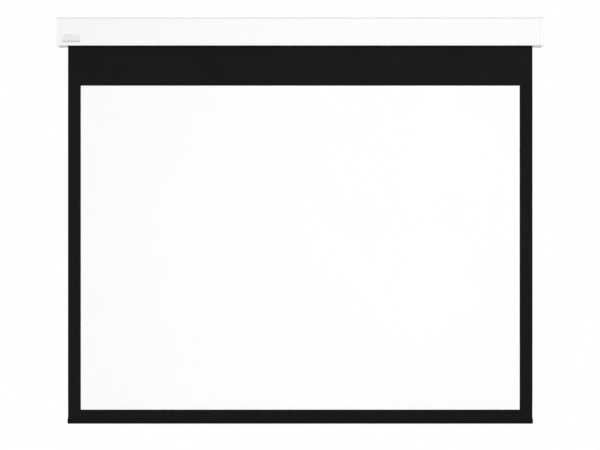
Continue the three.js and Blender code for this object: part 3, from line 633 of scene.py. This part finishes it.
def fit(piece, node):
    """Smooths a piece and puts it in a CAD node's place, on its body and with its finish."""
    smooth(piece)
    solid = frame["nodes"][node]
    slot = solid.data.materials[0].name
    piece.data.materials.clear()
    piece.data.materials.append(finishes[slot])
    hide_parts(node)
    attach(piece, body_of(solid)[0])


# Camera, light and floor

VIEW_DISTANCE = 7.7  # from the case back
EYE_SIDE = -0.0009
EYE_HEIGHT = -0.7518
LENS = 117.53  # mm, on a 36 mm wide frame
FLOOR_LEVEL = -2.2
FLOOR_SIZE = 6
FADE_FROM = 0.6
FADE_LEAST = 0.4  # white share of the seen floor below the object
WORLD_LIGHT = 0.6
LIGHTS = (  # place, width and power in watts of each
    ("key", (3.2, -4.2, 0.2), 2.4, 37),
    ("fill", (-0.6, -4.6, -1.35), 1.6, 46),
    ("top", (0.4, -4.2, 1.8), 1.2, 25),
)


def make_camera():
    data = bpy.data.cameras.new("camera")
    data.sensor_width = 36
    data.lens = LENS
    camera = new_object("camera", data)
    camera.location = (EYE_SIDE, -VIEW_DISTANCE, EYE_HEIGHT)
    camera.rotation_euler = (math.pi / 2, 0, 0)
    bpy.context.scene.camera = camera


def soft_light(name, place, size, power):
    """A square soft light that looks at the middle of the cloth."""
    data = bpy.data.lights.new(name, "AREA")
    data.size = size
    data.energy = power
    light = new_object(name, data)
    light.location = place
    aim = Vector((0, 0, EYE_HEIGHT)) - light.location
    light.rotation_euler = aim.to_track_quat("-Z", "Y").to_euler()


def seen_share(tree):
    """1 for a ray from the camera or off a mirror or glass, and 0 for one that brings light."""
    path = add(tree, "ShaderNodeLightPath", {})
    seen = path.outputs["Is Camera Ray"]
    for kind in ("Is Glossy Ray", "Is Transmission Ray"):
        either = add(tree, "ShaderNodeMath", {0: seen, 1: path.outputs[kind]}, operation="MAXIMUM")
        seen = either.outputs["Value"]
    return seen


def make_world():
    """White where it is seen or mirrored, and a plain grey light on everything else."""
    world = bpy.data.worlds.new("studio")
    bpy.context.scene.world = world
    world.use_nodes = True
    tree = world.node_tree
    tree.nodes.clear()
    light, white = (
        add(tree, "ShaderNodeBackground", {"Color": (1, 1, 1, 1), "Strength": strength})
        for strength in (WORLD_LIGHT, 1))
    both = add(tree, "ShaderNodeMixShader", {
        "Fac": seen_share(tree), 1: light.outputs["Background"], 2: white.outputs["Background"]})
    add(tree, "ShaderNodeOutputWorld", {"Surface": both.outputs["Shader"]})


def make_floor():
    """A pale floor with the object's shadow, which is seen to fade into the white round it."""
    bpy.ops.mesh.primitive_plane_add(size=FLOOR_SIZE, location=(0, 0, FLOOR_LEVEL))
    floor = settle("floor")
    material, tree, shader = finish("pale_floor", "F4F4F3", 0.7, specular=0.3)
    grain(tree, shader, size=40 * MM, height=0.05 * MM)
    centred = add(tree, "ShaderNodeMapping", {
        "Vector": own_place(tree), "Location": (0, 0, -FLOOR_LEVEL)})
    reach = add(tree, "ShaderNodeVectorMath", {0: centred.outputs["Vector"]}, operation="LENGTH")
    fade = add(tree, "ShaderNodeMapRange", {
        "Value": reach.outputs["Value"], "From Min": FADE_FROM, "From Max": FLOOR_SIZE / 2,
        "To Min": FADE_LEAST, "To Max": 1}, interpolation_type="SMOOTHSTEP")
    seen_fade = add(tree, "ShaderNodeMath", {
        0: fade.outputs["Result"], 1: seen_share(tree)}, operation="MULTIPLY")
    white = add(tree, "ShaderNodeEmission", {"Color": (1, 1, 1, 1), "Strength": 1})
    both = add(tree, "ShaderNodeMixShader", {
        "Fac": seen_fade.outputs["Value"], 1: shader.outputs["BSDF"],
        2: white.outputs["Emission"]})
    tree.links.new(both.outputs["Shader"], tree.nodes["Material Output"].inputs["Surface"])
    floor.data.materials.append(material)


def make_stage():
    bpy.context.scene.view_settings.view_transform = "Standard"
    make_world()
    for name, place, size, power in LIGHTS:
        soft_light(name, place, size, power)
    make_floor()


# Places taken from the frame

shell_low, shell_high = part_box("case_shell")
front, back = shell_low.y, shell_high.y
bottom, top = shell_low.z, shell_high.z
inside = bottom + WALL
slot_front = front + SLOT_SETBACK
slot_rear = slot_front + SLOT_WIDTH
ledge = back - LEDGE_DEPTH
rebate_floor = top - REBATE
rebate_foot = top - REBATE_DROP
shelf = back - REBATE_DEPTH
ceiling = rebate_floor - WALL
channel = back - CHANNEL_SETBACK
ports = [middle(f"end_screw_left_{number}").yz for number in (1, 2, 3, 4)]
axle = axis_of("run_capacitor")
cloth_low, cloth_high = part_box("black_backing_sheet")
picture_low, picture_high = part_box("white_viewing_surface")
cloth_y = (cloth_low.y + cloth_high.y) / 2


# Case

def bulge(port, wall_angle, wall_distance):
    """The outside of a screw port, round from the wall it grows on and back to it."""
    half = math.acos(wall_distance / PORT_RADIUS)
    sweep = 2 * math.pi - 2 * half
    steps = 14
    turns = [wall_angle + half + sweep * step / steps for step in range(steps + 1)]
    return [(port[0] + PORT_RADIUS * math.cos(turn), port[1] + PORT_RADIUS * math.sin(turn))
            for turn in turns]


def case_section():
    """Up the back, over the rebate and its channel, down the front, and back along the inside."""
    step = back - REBATE
    mouth = CHANNEL_MOUTH / 2
    room = CHANNEL_WIDTH / 2
    channel_floor = ceiling - CHANNEL_DEPTH
    crease = bottom + CREASE_RISE
    top_front, low_front, low_back, top_back = ports
    return rounded([
        (back, bottom, BACK_ROUND),
        (back, rebate_foot, EDGE),
        (step, rebate_foot),
        (step, rebate_floor),
        (channel + mouth, rebate_floor, EDGE),
        (channel + mouth, ceiling),
        (channel + room, ceiling),
        (channel + room, channel_floor),
        (channel - room, channel_floor),
        (channel - room, ceiling),
        (channel - mouth, ceiling),
        (channel - mouth, rebate_floor, EDGE),
        (shelf, rebate_floor),
        (shelf, top, EDGE),
        (front, top, FRONT_ROUND),
        (front, crease + CREASE),
        (front + CREASE, crease),
        (front, crease - CREASE),
        (front, bottom, LIP_ROUND),
        (slot_front, bottom, EDGE),
        (slot_front, inside + LIP_RISE, EDGE),
        (slot_front - WALL, inside + LIP_RISE, EDGE),
        (slot_front - WALL, inside),
        (front + WALL, inside, LIP_ROUND - WALL),
        *bulge(low_front, math.pi, low_front[0] - front - WALL),
        (front + WALL, top - WALL, FRONT_ROUND - WALL),
        *bulge(top_front, math.pi / 2, top - WALL - top_front[1]),
        (shelf - WALL, top - WALL),
        (shelf - WALL, ceiling),
        *bulge(top_back, math.pi / 2, ceiling - top_back[1]),
        (channel - room - WALL, ceiling),
        (channel - room - WALL, channel_floor - WALL),
        (channel + room + WALL, channel_floor - WALL),
        (channel + room + WALL, ceiling),
        (step - WALL, ceiling),
        (step - WALL, rebate_foot - WALL),
        (back - WALL, rebate_foot - WALL),
        *bulge(low_back, 0, back - WALL - low_back[0]),
        (back - WALL, inside),
        (ledge, inside, EDGE),
        (ledge, bottom, EDGE),
    ])


def make_case():
    case = profile("case_extrusion", case_section(), shell_low.x, shell_high.x,
                   [(y, z, PORT_BORE) for y, z in ports])
    bush = in_plan("cable_bush", ceiling - OVERRUN)
    cut(case, rod("bush_hole", "z", bush, REBATE + 2 * OVERRUN, BUSH_HOLE))
    fit(case, "case_shell")


def make_bottom_cover():
    tongue = inside + GAP
    cover = profile("bottom_cover_strip", rounded([
        (slot_rear, bottom, EDGE),
        (ledge - GAP, bottom, EDGE),
        (ledge - GAP, tongue),
        (ledge + COVER_TONGUE, tongue, EDGE),
        (ledge + COVER_TONGUE, tongue + WALL, EDGE),
        (ledge - GAP - WALL, tongue + WALL),
        (ledge - GAP - WALL, inside),
        (slot_rear + WALL, inside),
        (slot_rear + WALL, bottom + COVER_FLANGE, EDGE),
        (slot_rear, bottom + COVER_FLANGE, EDGE),
    ]), shell_low.x, shell_high.x)
    through = WALL + 2 * OVERRUN
    for name in ("limit_screw_up", "limit_screw_down"):
        hole = in_plan(name, bottom - OVERRUN)
        cut(cover, rod("access", "z", hole, through, ACCESS_RADIUS))
    shank = COVER_SHANK + COVER_SCREW_CLEARANCE
    head = COVER_HEAD + COVER_SCREW_CLEARANCE
    for name in ("cover_screw_left", "cover_screw_right"):
        cut(cover, rod("hole", "z", in_plan(name, bottom - OVERRUN), through, shank))
        cut(cover, rod("sink", "z", in_plan(name, bottom - EDGE), head - shank + EDGE,
                       head + EDGE, shank))
    fit(cover, "bottom_cover")


# End caps and bracket plates

def end_outline(out, back_in):
    return rounded([
        (back - back_in, bottom - out, BACK_ROUND),
        (back - back_in, top + out, BACK_ROUND),
        (front - out, top + out, FRONT_ROUND + out),
        (front - out, bottom - out, LIP_ROUND + out),
    ])


def make_end_caps():
    """A cup whose softened face looks outwards, with a screw boss in each corner."""
    low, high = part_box("left_end_cap")
    cap = profile("end_cap_left", end_outline(CAP_PROUD, 0), low.x, high.x)
    bevel(cap, lambda a, b: max(a.x, b.x) < low.x + EDGE, CAP_EDGE, segments=5)
    cut(cap, profile("room", end_outline(CAP_PROUD - CAP_WALL, CAP_WALL), low.x + CAP_WALL,
                     high.x + CAP_WALL))
    boss_from = low.x + CAP_WALL / 2
    boss_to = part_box("motor_bracket_plate")[0].x - GAP
    for y, z in ports:
        boss = rod("boss", "x", (boss_from, y, z), boss_to - boss_from, BOSS_RADIUS)
        cut(cap, boss, "UNION")
    for y, z in ports:
        seat = END_HEAD_HEIGHT + 2 * GAP
        head = END_HEAD + GAP
        cut(cap, rod("recess", "x", (low.x - OVERRUN, y, z), seat + OVERRUN, head))
        cut(cap, rod("lead_in", "x", (low.x - EDGE, y, z), 3 * EDGE, head + 2 * EDGE, head - EDGE))
        cut(cap, rod("hole", "x", (low.x, y, z), high.x - low.x, END_SHANK + GAP))
    other = copied(cap, "end_cap_right", mirror=True)
    fit(cap, "left_end_cap")
    fit(other, "right_end_cap")


# Screws

def cross_recess(screw, reach):
    """A cross pressed into a head that looks up at the origin, drawn in towards its foot."""
    for name, turn in (("across", 0), ("along", math.pi / 2)):
        bpy.ops.mesh.primitive_cube_add(
            size=1, location=(0, 0, (OVERRUN - CROSS_DEPTH) / 2),
            scale=(2 * reach, CROSS_WIDTH, OVERRUN + CROSS_DEPTH))
        blade = settle(name)
        with editing(blade):
            pick(blade, "FACE", lambda place, normal: normal.z < -0.5)
            bpy.ops.transform.resize(value=CROSS_FOOT)
        blade.rotation_euler.z = turn
        only(blade)
        bpy.ops.object.transform_apply(location=False, rotation=True, scale=False)
        cut(screw, blade)


def roll_thread(screw, radius, start, end):
    """Rings round the shank from one height down to another, then each point is drawn in by how
    far it lies from the crest of a helix."""
    rings = int(THREAD_RINGS * (start - end) / THREAD_PITCH)
    with editing(screw, "EDGE"):
        pick(screw, "EDGE", lambda a, b: abs(a.z - b.z) > abs(start - end) - WELD)
        bpy.ops.mesh.subdivide(number_cuts=rings)
    for vert in screw.data.vertices:
        if end + WELD < vert.co.z < start - WELD:
            turn = vert.co.z / THREAD_PITCH - math.atan2(vert.co.y, vert.co.x) / (2 * math.pi)
            root = abs(2 * (turn % 1) - 1)
            share = 1 - root * THREAD_DEPTH / radius
            vert.co.x *= share
            vert.co.y *= share


def make_screw(name, head, shank, length, rim):
    """A screw that hangs from the origin with its head up: its head from the top of its rim down
    to its seat, plain neck, thread and point."""
    neck = rim[-1][0] - shank / 2
    tip = -length + shank
    screw = turned(name, "z", (0, 0, 0), [
        *rim, (neck, shank), (tip, shank), (-length, shank / 3, shank / 6)], sides=32)
    roll_thread(screw, shank, neck, tip)
    cross_recess(screw, CROSS_REACH * head)
    return screw


def make_sunk_screw(name, head, shank, length):
    return make_screw(
        name, head, shank, length, [(0, head, EDGE / 2), (shank - head, shank, 0)])


def make_screws():
    pan = make_screw("pan_screw", END_HEAD, END_SHANK, END_LENGTH, [
        (0, END_HEAD, END_CROWN), (-END_HEAD_HEIGHT, END_HEAD, EDGE / 2),
        (-END_HEAD_HEIGHT, END_SHANK, EDGE / 2)])
    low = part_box("end_screw_left_1")[0]
    for number, (y, z) in enumerate(ports, 1):
        left = copied(pan, f"pan_screw_left_{number}", (low.x, y, z), (0, -math.pi / 2, 0))
        right = copied(left, f"pan_screw_right_{number}", mirror=True)
        fit(left, f"end_screw_left_{number}")
        fit(right, f"end_screw_right_{number}")
    sunk = make_sunk_screw("sunk_screw", COVER_HEAD, COVER_SHANK, COVER_LENGTH)
    clamp = make_sunk_screw("clamp_screw", CLAMP_HEAD, CLAMP_SHANK, CLAMP_LENGTH)
    for side in ("left", "right"):
        place = in_plan(f"cover_screw_{side}", bottom)
        fit(copied(sunk, f"sunk_screw_{side}", place, (math.pi, 0, 0)), f"cover_screw_{side}")
        place = in_plan(f"clamp_screw_{side}", top)
        fit(copied(clamp, f"channel_screw_{side}", place), f"clamp_screw_{side}")
    for master in (pan, sunk, clamp):
        bpy.data.objects.remove(master)


# Badge

def make_badge():
    """A thin plate with rounded shoulders and a shallow panel within a rim."""
    low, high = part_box("name_badge")
    outline = rounded([
        (low.x, low.z, BADGE_FOOT), (high.x, low.z, BADGE_FOOT),
        (high.x, high.z, BADGE_SHOULDER), (low.x, high.z, BADGE_SHOULDER)])
    badge = draw("badge_plate", [Vector((x, high.y, z)) for x, z in outline])
    extrude(badge, (0, low.y - high.y, 0))
    bevel(badge, lambda a, b: max(a.y, b.y) < low.y + WELD, BADGE_EDGE, segments=3)
    with editing(badge):
        pick(badge, "FACE", lambda place, normal: normal.y < -0.99)
        bpy.ops.mesh.inset(thickness=BADGE_RIM, depth=0)
        bpy.ops.mesh.inset(thickness=BADGE_DISH, depth=-BADGE_DISH)
    fit(badge, "name_badge")


# Wall brackets

def make_brackets():
    """A bent steel angle with rounded corners, two wall holes, two ceiling holes and the sunk hole
    of its clamp screw."""
    low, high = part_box("wall_bracket_left")
    bracket = profile("steel_angle_left", rounded([
        (high.y, low.z),
        (high.y, high.z, PLATE),
        (low.y, high.z),
        (low.y, high.z - PLATE),
        (high.y - PLATE, high.z - PLATE, EDGE),
        (high.y - PLATE, low.z),
    ]), low.x, high.x)

    def plate_corner(a, b):
        across_back = max(a.z, b.z) < low.z + WELD and abs(a.y - b.y) > WELD
        across_top = max(a.y, b.y) < low.y + WELD and abs(a.z - b.z) > WELD
        return abs(a.x - b.x) < WELD and (across_back or across_top)

    bevel(bracket, plate_corner, PLATE_CORNER, segments=6)
    x = (low.x + high.x) / 2
    through = PLATE + 2 * OVERRUN
    for side in (-1, 1):
        hole_x = x + side * FIXING_SPACING / 2
        wall_hole = (hole_x, high.y - PLATE - OVERRUN, low.z + WALL_HOLE_RISE)
        ceiling_hole = (hole_x, low.y + CEILING_HOLE_INSET, high.z - PLATE - OVERRUN)
        cut(bracket, rod("wall_hole", "y", wall_hole, through, FIXING_HOLE))
        cut(bracket, rod("ceiling_hole", "z", ceiling_hole, through, FIXING_HOLE))
    shank = CLAMP_SHANK + GAP
    head = CLAMP_HEAD + GAP
    cut(bracket, rod("hole", "z", (x, channel, high.z - PLATE - OVERRUN), through, shank))
    cut(bracket, rod("sink", "z", (x, channel, high.z - head + shank), head - shank + EDGE,
                     shank, head + EDGE))
    soften(bracket)
    other = copied(bracket, "steel_angle_right", (-2 * x, 0, 0))
    fit(bracket, "wall_bracket_left")
    fit(other, "wall_bracket_right")


# Cloth

def noise_at(x, z, size, seed):
    return noise.noise(Vector((x / size, seed, z / size)))


def share_of(part, whole):
    """How much a part is of a whole, from 0 to 1."""
    return max(0, min(1, part / whole))


def drape(x, z):
    """How far the hung cloth leaves its plane, to the front only so that it clears the turns
    behind it: nothing at the roller and at the hem, long faint ripples between, and edges
    that curl a little further forward."""
    drop = share_of(cloth_high.z - z, DRAPE_START)
    rise = share_of(z - cloth_low.z - HEM_FLAP, DRAPE_END)
    free = drop * rise * rise * (3 - 2 * rise)
    wave = math.sin(2 * math.pi * (x / RIPPLE_LENGTH + RIPPLE_LEAN * z))
    ripple = RIPPLE * (wave - 1)
    near_edge = share_of(abs(x) - cloth_high.x + CURL_WIDTH, CURL_WIDTH)
    curl = -CURL * near_edge ** 2 * (0.75 + 0.5 * noise_at(x, z, CURL_LENGTH, seed=3))
    slow = UNEVEN * (noise_at(x, z, UNEVEN_LENGTH, seed=7) - 1)
    return free * (ripple + curl + slow)


def thicken(piece, thickness):
    modify(piece, "SOLIDIFY", thickness=thickness, offset=0, use_even_offset=True)


def lay_uv(piece, flat):
    """A UV map in metres of the cloth as it was cut, by a formula of the place."""
    layer = piece.data.uv_layers.new(name="cloth")
    for loop in piece.data.loops:
        layer.data[loop.index].uv = flat(piece.data.vertices[loop.vertex_index].co)


def hung_sheet(name, low, high, y, lines=()):
    """A grid stood upright between two corners, with extra rows at some heights, then draped."""
    width = high.x - low.x
    height = high.z - low.z
    bpy.ops.mesh.primitive_grid_add(
        x_subdivisions=round(width / CELL), y_subdivisions=round(height / CELL), size=1,
        location=((low.x + high.x) / 2, y, (low.z + high.z) / 2), rotation=(math.pi / 2, 0, 0))
    bpy.context.object.scale = (width, height, 1)
    sheet = settle(name)
    with editing(sheet):
        for z in lines:
            bpy.ops.mesh.select_all(action="SELECT")
            bpy.ops.mesh.bisect(plane_co=(0, y, z), plane_no=(0, 0, 1))
    lay_uv(sheet, lambda place: (place.x, place.z))
    for vert in sheet.data.vertices:
        vert.co.y += drape(vert.co.x, vert.co.z)
    return sheet


def strip(name, line, start, end, cuts):
    """A drawn line of (y, z) pulled out from one x to another, with cuts across its length."""
    piece = draw_across(name, line, start, closed=False)
    with editing(piece, "EDGE", "SELECT"):
        bpy.ops.mesh.extrude_region_move(TRANSFORM_OT_translate={"value": (end - start, 0, 0)})
        pick(piece, "EDGE", lambda a, b: abs(a.x - b.x) > CELL)
        bpy.ops.mesh.subdivide(number_cuts=cuts)
    return piece


def make_cloth():
    """The black backing, with a lap weld across its upper drop, and the white coating's own
    sheet on the front of it."""
    seam = bottom - SEAM_DROP
    lines = [seam + side * (SEAM_HALF + step) for side in (-1, 1) for step in (0, SEAM_RAMP)]
    backing = hung_sheet("backing_cloth", cloth_low, cloth_high, cloth_y, lines)
    for vert in backing.data.vertices:
        if abs(vert.co.z - seam) < SEAM_HALF + SEAM_RAMP / 2:
            vert.co.y -= SEAM_STEP
    thicken(backing, CLOTH)
    stand_off = CLOTH / 2 + COATING / 2 + COATING_GAP
    coating = hung_sheet("picture_cloth", picture_low, picture_high, cloth_y - stand_off)
    thicken(coating, COATING)
    fit(backing, "black_backing_sheet")
    fit(coating, "white_viewing_surface")
    return backing, coating


def gather_cloth(*sheets):
    """Gives each hung sheet a mesh of its own."""
    for sheet in sheets:
        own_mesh(sheet)


# Hem and bar

def make_hem():
    """One strip: a flap welded to the cloth's front, round under the bar, and up to a flap on its
    back."""
    low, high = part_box("hem_pocket")
    centre = Vector((cloth_y, axis_of("bar_tube").z))
    radius = span("bar_tube")[2] + GAP + CLOTH / 2
    flap = cloth_y - CLOTH - HEM_GAP
    weld_foot = Vector((flap, high.z - 1 * MM))
    meet = centre + Vector((-math.cos(HEM_LEAN), math.sin(HEM_LEAN))) * radius
    pull = Vector((math.sin(HEM_LEAN), math.cos(HEM_LEAN))) * HEM_PULL
    front_line = [Vector((flap, high.z + HEM_FLAP))]
    front_line += interpolate_bezier(
        weld_foot, weld_foot - Vector((0, HEM_PULL)), meet + pull, meet, 11)
    sweep = math.pi + 2 * HEM_LEAN
    turns = [math.pi - HEM_LEAN + sweep * step / HEM_STEPS for step in range(HEM_STEPS + 1)]
    under = [centre + radius * Vector((math.cos(turn), math.sin(turn))) for turn in turns]
    back_line = [Vector((2 * cloth_y - point.x, point.y)) for point in reversed(front_line)]
    line = front_line + under[1:-1] + back_line
    hem = strip("hem_sleeve", line, low.x, high.x, cuts=90)
    runs = {}
    run = 0
    for last, point in zip(line, line[1:]):
        runs[round(last.x / WELD), round(last.y / WELD)] = run
        run += (point - last).length
    runs[round(line[-1].x / WELD), round(line[-1].y / WELD)] = run
    lay_uv(hem, lambda place: (place.x, runs[round(place.y / WELD), round(place.z / WELD)]))
    for vert in hem.data.vertices:
        free = share_of(high.z - vert.co.z, HEM_FADE) * share_of(vert.co.z - centre.y, HEM_FADE)
        side = -1 if vert.co.y < cloth_y else 1
        vert.co.y += side * free * HEM_SLACK * noise_at(vert.co.x, side, SLACK_LENGTH, seed=11)
    thicken(hem, CLOTH)
    fit(hem, "hem_pocket")
    return hem


def make_bar():
    start, end, radius = span("bar_tube")
    centre = axis_of("bar_tube")
    bore = radius - BAR_WALL
    fit(turned("weight_bar_tube", "x", centre, [
        (start, bore, EDGE), (start, radius, EDGE),
        (end, radius, EDGE), (end, bore, EDGE)], bored=True), "bar_tube")
    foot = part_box("bar_plug_right")[0].x
    face = end + PLUG_STAND
    spigot = bore - GAP
    plug = turned("bar_end_plug_right", "x", centre, [
        (foot, spigot, 1 * MM), (end + GAP, spigot), (end + GAP, radius, EDGE / 2),
        (face, radius, 0.7 * MM), (face, radius / 2, EDGE),
        (face - EDGE, radius / 2 - EDGE, EDGE / 2)])
    other = copied(plug, "bar_end_plug_left", mirror=True)
    fit(plug, "bar_plug_right")
    fit(other, "bar_plug_left")


# Roller

def make_wraps():
    """The turns left on the tube: one strip that leaves the roll at its front and winds in."""
    low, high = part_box("fabric_wraps")
    outer = axle.y - cloth_y
    inner = outer - WRAP_PITCH * WRAP_TURNS
    length = WRAP_TURNS * math.pi * (outer + inner)
    steps = round(WRAP_STEPS * WRAP_TURNS)
    line = []
    for step in range(steps + 1):
        share = step / steps
        radius = outer - WRAP_PITCH * WRAP_TURNS * share
        turn = math.pi - 2 * math.pi * WRAP_TURNS * share
        line.append(Vector((axle.y + radius * math.cos(turn), axle.z + radius * math.sin(turn))))
    wraps = strip("cloth_turns", line, low.x, high.x, cuts=24)

    def flat(place):
        """The run along the strip, from how far in the place lies."""
        share = (outer - math.hypot(place.y - axle.y, place.z - axle.z)) / (outer - inner)
        return place.x, share * length

    lay_uv(wraps, flat)
    thicken(wraps, CLOTH)
    fit(wraps, "fabric_wraps")
    return wraps, (high.x - low.x, length)


def make_keder():
    start, end, radius = span("roller_keder")
    fit(turned("cloth_bead", "x", axis_of("roller_keder"), [
        (start, radius, 1 * MM), (end, radius, 1 * MM)], sides=24), "roller_keder")


# Motor and its neighbours, each turned about the roller's axis

def on_axle(name, node, corners, bored=False):
    fit(turned(name, "x", axle, corners, bored), node)


def ring_grooves(radius, places, depth, width):
    """Corners of shallow turned grooves at some places along a round body."""
    half = width / 2
    corners = []
    for place in places:
        corners += [
            (place - half, radius), (place - half + depth, radius - depth),
            (place + half - depth, radius - depth), (place + half, radius)]
    return corners


def body(name, node, places, depth=0.5 * MM, width=2 * MM, rounding=1 * MM):
    """A closed round body with grooves at some places along it, from its start or, where less
    than nothing, from its end."""
    start, end, radius = span(node)
    grooves = ring_grooves(
        radius, [place + (start if place > 0 else end) for place in places], depth, width)
    on_axle(name, node, [(start, radius, rounding), *grooves, (end, radius, rounding)])


def make_motor():
    start, end, core = span("limit_switch_unit")
    places = [(end - start) * share for share in (0.16, 0.24, 0.32, 0.68, 0.76, 0.84)]
    body("limit_switch_body", "limit_switch_unit", places, depth=0.7 * MM, width=2.2 * MM)
    body("capacitor_body", "run_capacitor", [5 * MM],
         depth=0.8 * MM, width=3 * MM, rounding=2 * MM)
    body("motor_can_drawn", "motor_can", [16 * MM, -16 * MM])
    start, end, casing = span("motor_casing")
    shaft = 6.3 * MM
    wall = 1 * MM
    end_wall = 1.5 * MM
    on_axle("motor_tube", "motor_casing", [
        (start, casing - wall, EDGE), (start, casing, EDGE),
        (end, casing, 1 * MM), (end, shaft, EDGE),
        (end - end_wall, shaft, EDGE), (end - end_wall, casing - wall),
    ], bored=True)
    start, end = span("gearbox_cartridge")[:2]
    stages = [start + (end - start) * share for share in (0.25, 0.5, 0.75)]
    seat = 18.3 * MM
    on_axle("gearbox_body", "gearbox_cartridge", [
        (start, core, 1 * MM), *ring_grooves(core, stages, depth=0.6 * MM, width=2.4 * MM),
        (end, core, 1 * MM), (end, shaft, EDGE), (end - seat, shaft, EDGE)])


def make_idler():
    """The bearing with its races and shields, and the axle with its collar."""
    start, end, outer = span("idler_bearing")
    bore = 6.3 * MM
    race = 1.7 * MM
    shield = 0.4 * MM

    def side(face, inwards):
        return [
            (face, bore + race), (face + inwards * shield, bore + race),
            (face + inwards * shield, outer - race), (face, outer - race)]

    on_axle("ball_bearing", "idler_bearing", [
        (start, bore, EDGE), *side(start, 1), (start, outer, EDGE),
        (end, outer, EDGE), *reversed(side(end, -1)), (end, bore, EDGE)], bored=True)
    collar_from = end + GAP
    collar_to = shell_high.x
    start, end, collar = span("idler_axle")
    pin = 6 * MM
    on_axle("axle_pin", "idler_axle", [
        (start, pin, 1 * MM), (collar_from, pin, EDGE), (collar_from, collar, EDGE),
        (collar_to, collar, EDGE), (collar_to, pin, EDGE), (end, pin, 1 * MM)])


def refine(node, name):
    """Copies a CAD piece, merges its triangles back into faces and softens its edges."""
    piece = new_object(name, frame["nodes"][node].data.copy())
    piece.data.name = name
    with editing(piece, start="SELECT"):
        bpy.ops.mesh.remove_doubles(threshold=WELD)
        bpy.ops.mesh.dissolve_limited(angle_limit=math.radians(0.5))
    soften(piece)
    fit(piece, node)


# Motor lead

def make_lead():
    """The motor's lead: out of the head towards the wall, along the case, and up into its bush."""
    low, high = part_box("motor_lead")
    radius = 2.5 * MM
    socket = 4 * MM
    rise = 24 * MM
    start = Vector((low.x + radius, low.y, axle.z))
    run_y = high.y - radius
    bend = run_y - start.y - socket
    bush = Vector((high.x - radius, run_y, high.z))
    corner = Vector((start.x, run_y, axle.z))
    foot = Vector((bush.x, run_y, axle.z))
    route = [start, start + Vector((0, socket / 2, 0))]
    for first, turn, last, points in (
            (start + Vector((0, socket, 0)), corner, corner + Vector((bend, 0, 0)), 11),
            (foot - Vector((rise, 0, 0)), foot, foot + Vector((0, 0, rise)), 13)):
        route += interpolate_bezier(
            first, first.lerp(turn, 2 / 3), last.lerp(turn, 2 / 3), last, points)
    route.append(bush)
    data = bpy.data.curves.new("lead", "CURVE")
    data.dimensions = "3D"
    data.bevel_depth = radius
    data.bevel_resolution = 4
    data.use_fill_caps = True
    line = data.splines.new("POLY")
    line.points.add(len(route) - 1)
    for point, place in zip(line.points, route):
        point.co = (*place, 1)
    lead = new_object("motor_lead_sheath", data)
    only(lead)
    bpy.ops.object.convert(target="MESH")
    with editing(lead):
        tidy_normals()
    fit(lead, "motor_lead")


def make_bush():
    """A closed grommet: a rounded flange above the sheet, a neck in it and a snap lip below."""
    low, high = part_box("cable_bush")
    flange = (high.x - low.x) / 2
    neck = BUSH_HOLE - GAP
    bore = 2.8 * MM
    lip = 5.9 * MM
    lip_top = ceiling - GAP
    fit(turned("cable_grommet", "z", in_plan("cable_bush", 0), [
        (low.z, bore, EDGE), (low.z, neck, EDGE), (lip_top, lip, EDGE), (lip_top, neck),
        (rebate_floor + GAP, neck), (rebate_floor + GAP, flange, EDGE),
        (high.z, flange, 1 * MM), (high.z, bore, 0.8 * MM)], bored=True), "cable_bush")


# The whole

make_camera()
make_stage()
make_case()
make_bottom_cover()
make_end_caps()
make_screws()
make_badge()
make_brackets()
backing, coating = make_cloth()
hem = make_hem()
wraps, wraps_flat = make_wraps()
make_bar()
make_keder()
make_motor()
make_idler()
make_lead()
make_bush()
for node, name in (
        ("motor_bracket_plate", "motor_end_plate"),
        ("idler_bracket_plate", "idler_end_plate"),
        ("motor_head", "motor_head_moulding"),
        ("head_clip", "head_spring_clip"),
        ("limit_screw_up", "upper_limit_adjuster"),
        ("limit_screw_down", "lower_limit_adjuster"),
        ("roller_tube", "roller_barrel"),
        ("motor_crown", "crown_ring"),
        ("drive_shaft", "hexagon_shaft"),
        ("drive_wheel", "drive_hub"),
        ("drive_clip", "shaft_circlip"),
        ("idler_plug", "idler_hub"),
        ("axle_nut", "hexagon_nut"),
        ("lead_clip", "lead_saddle"),
        ("slide_nut_left", "channel_nut_left"),
        ("slide_nut_right", "channel_nut_right")):
    refine(node, name)

gather_cloth(backing, coating)
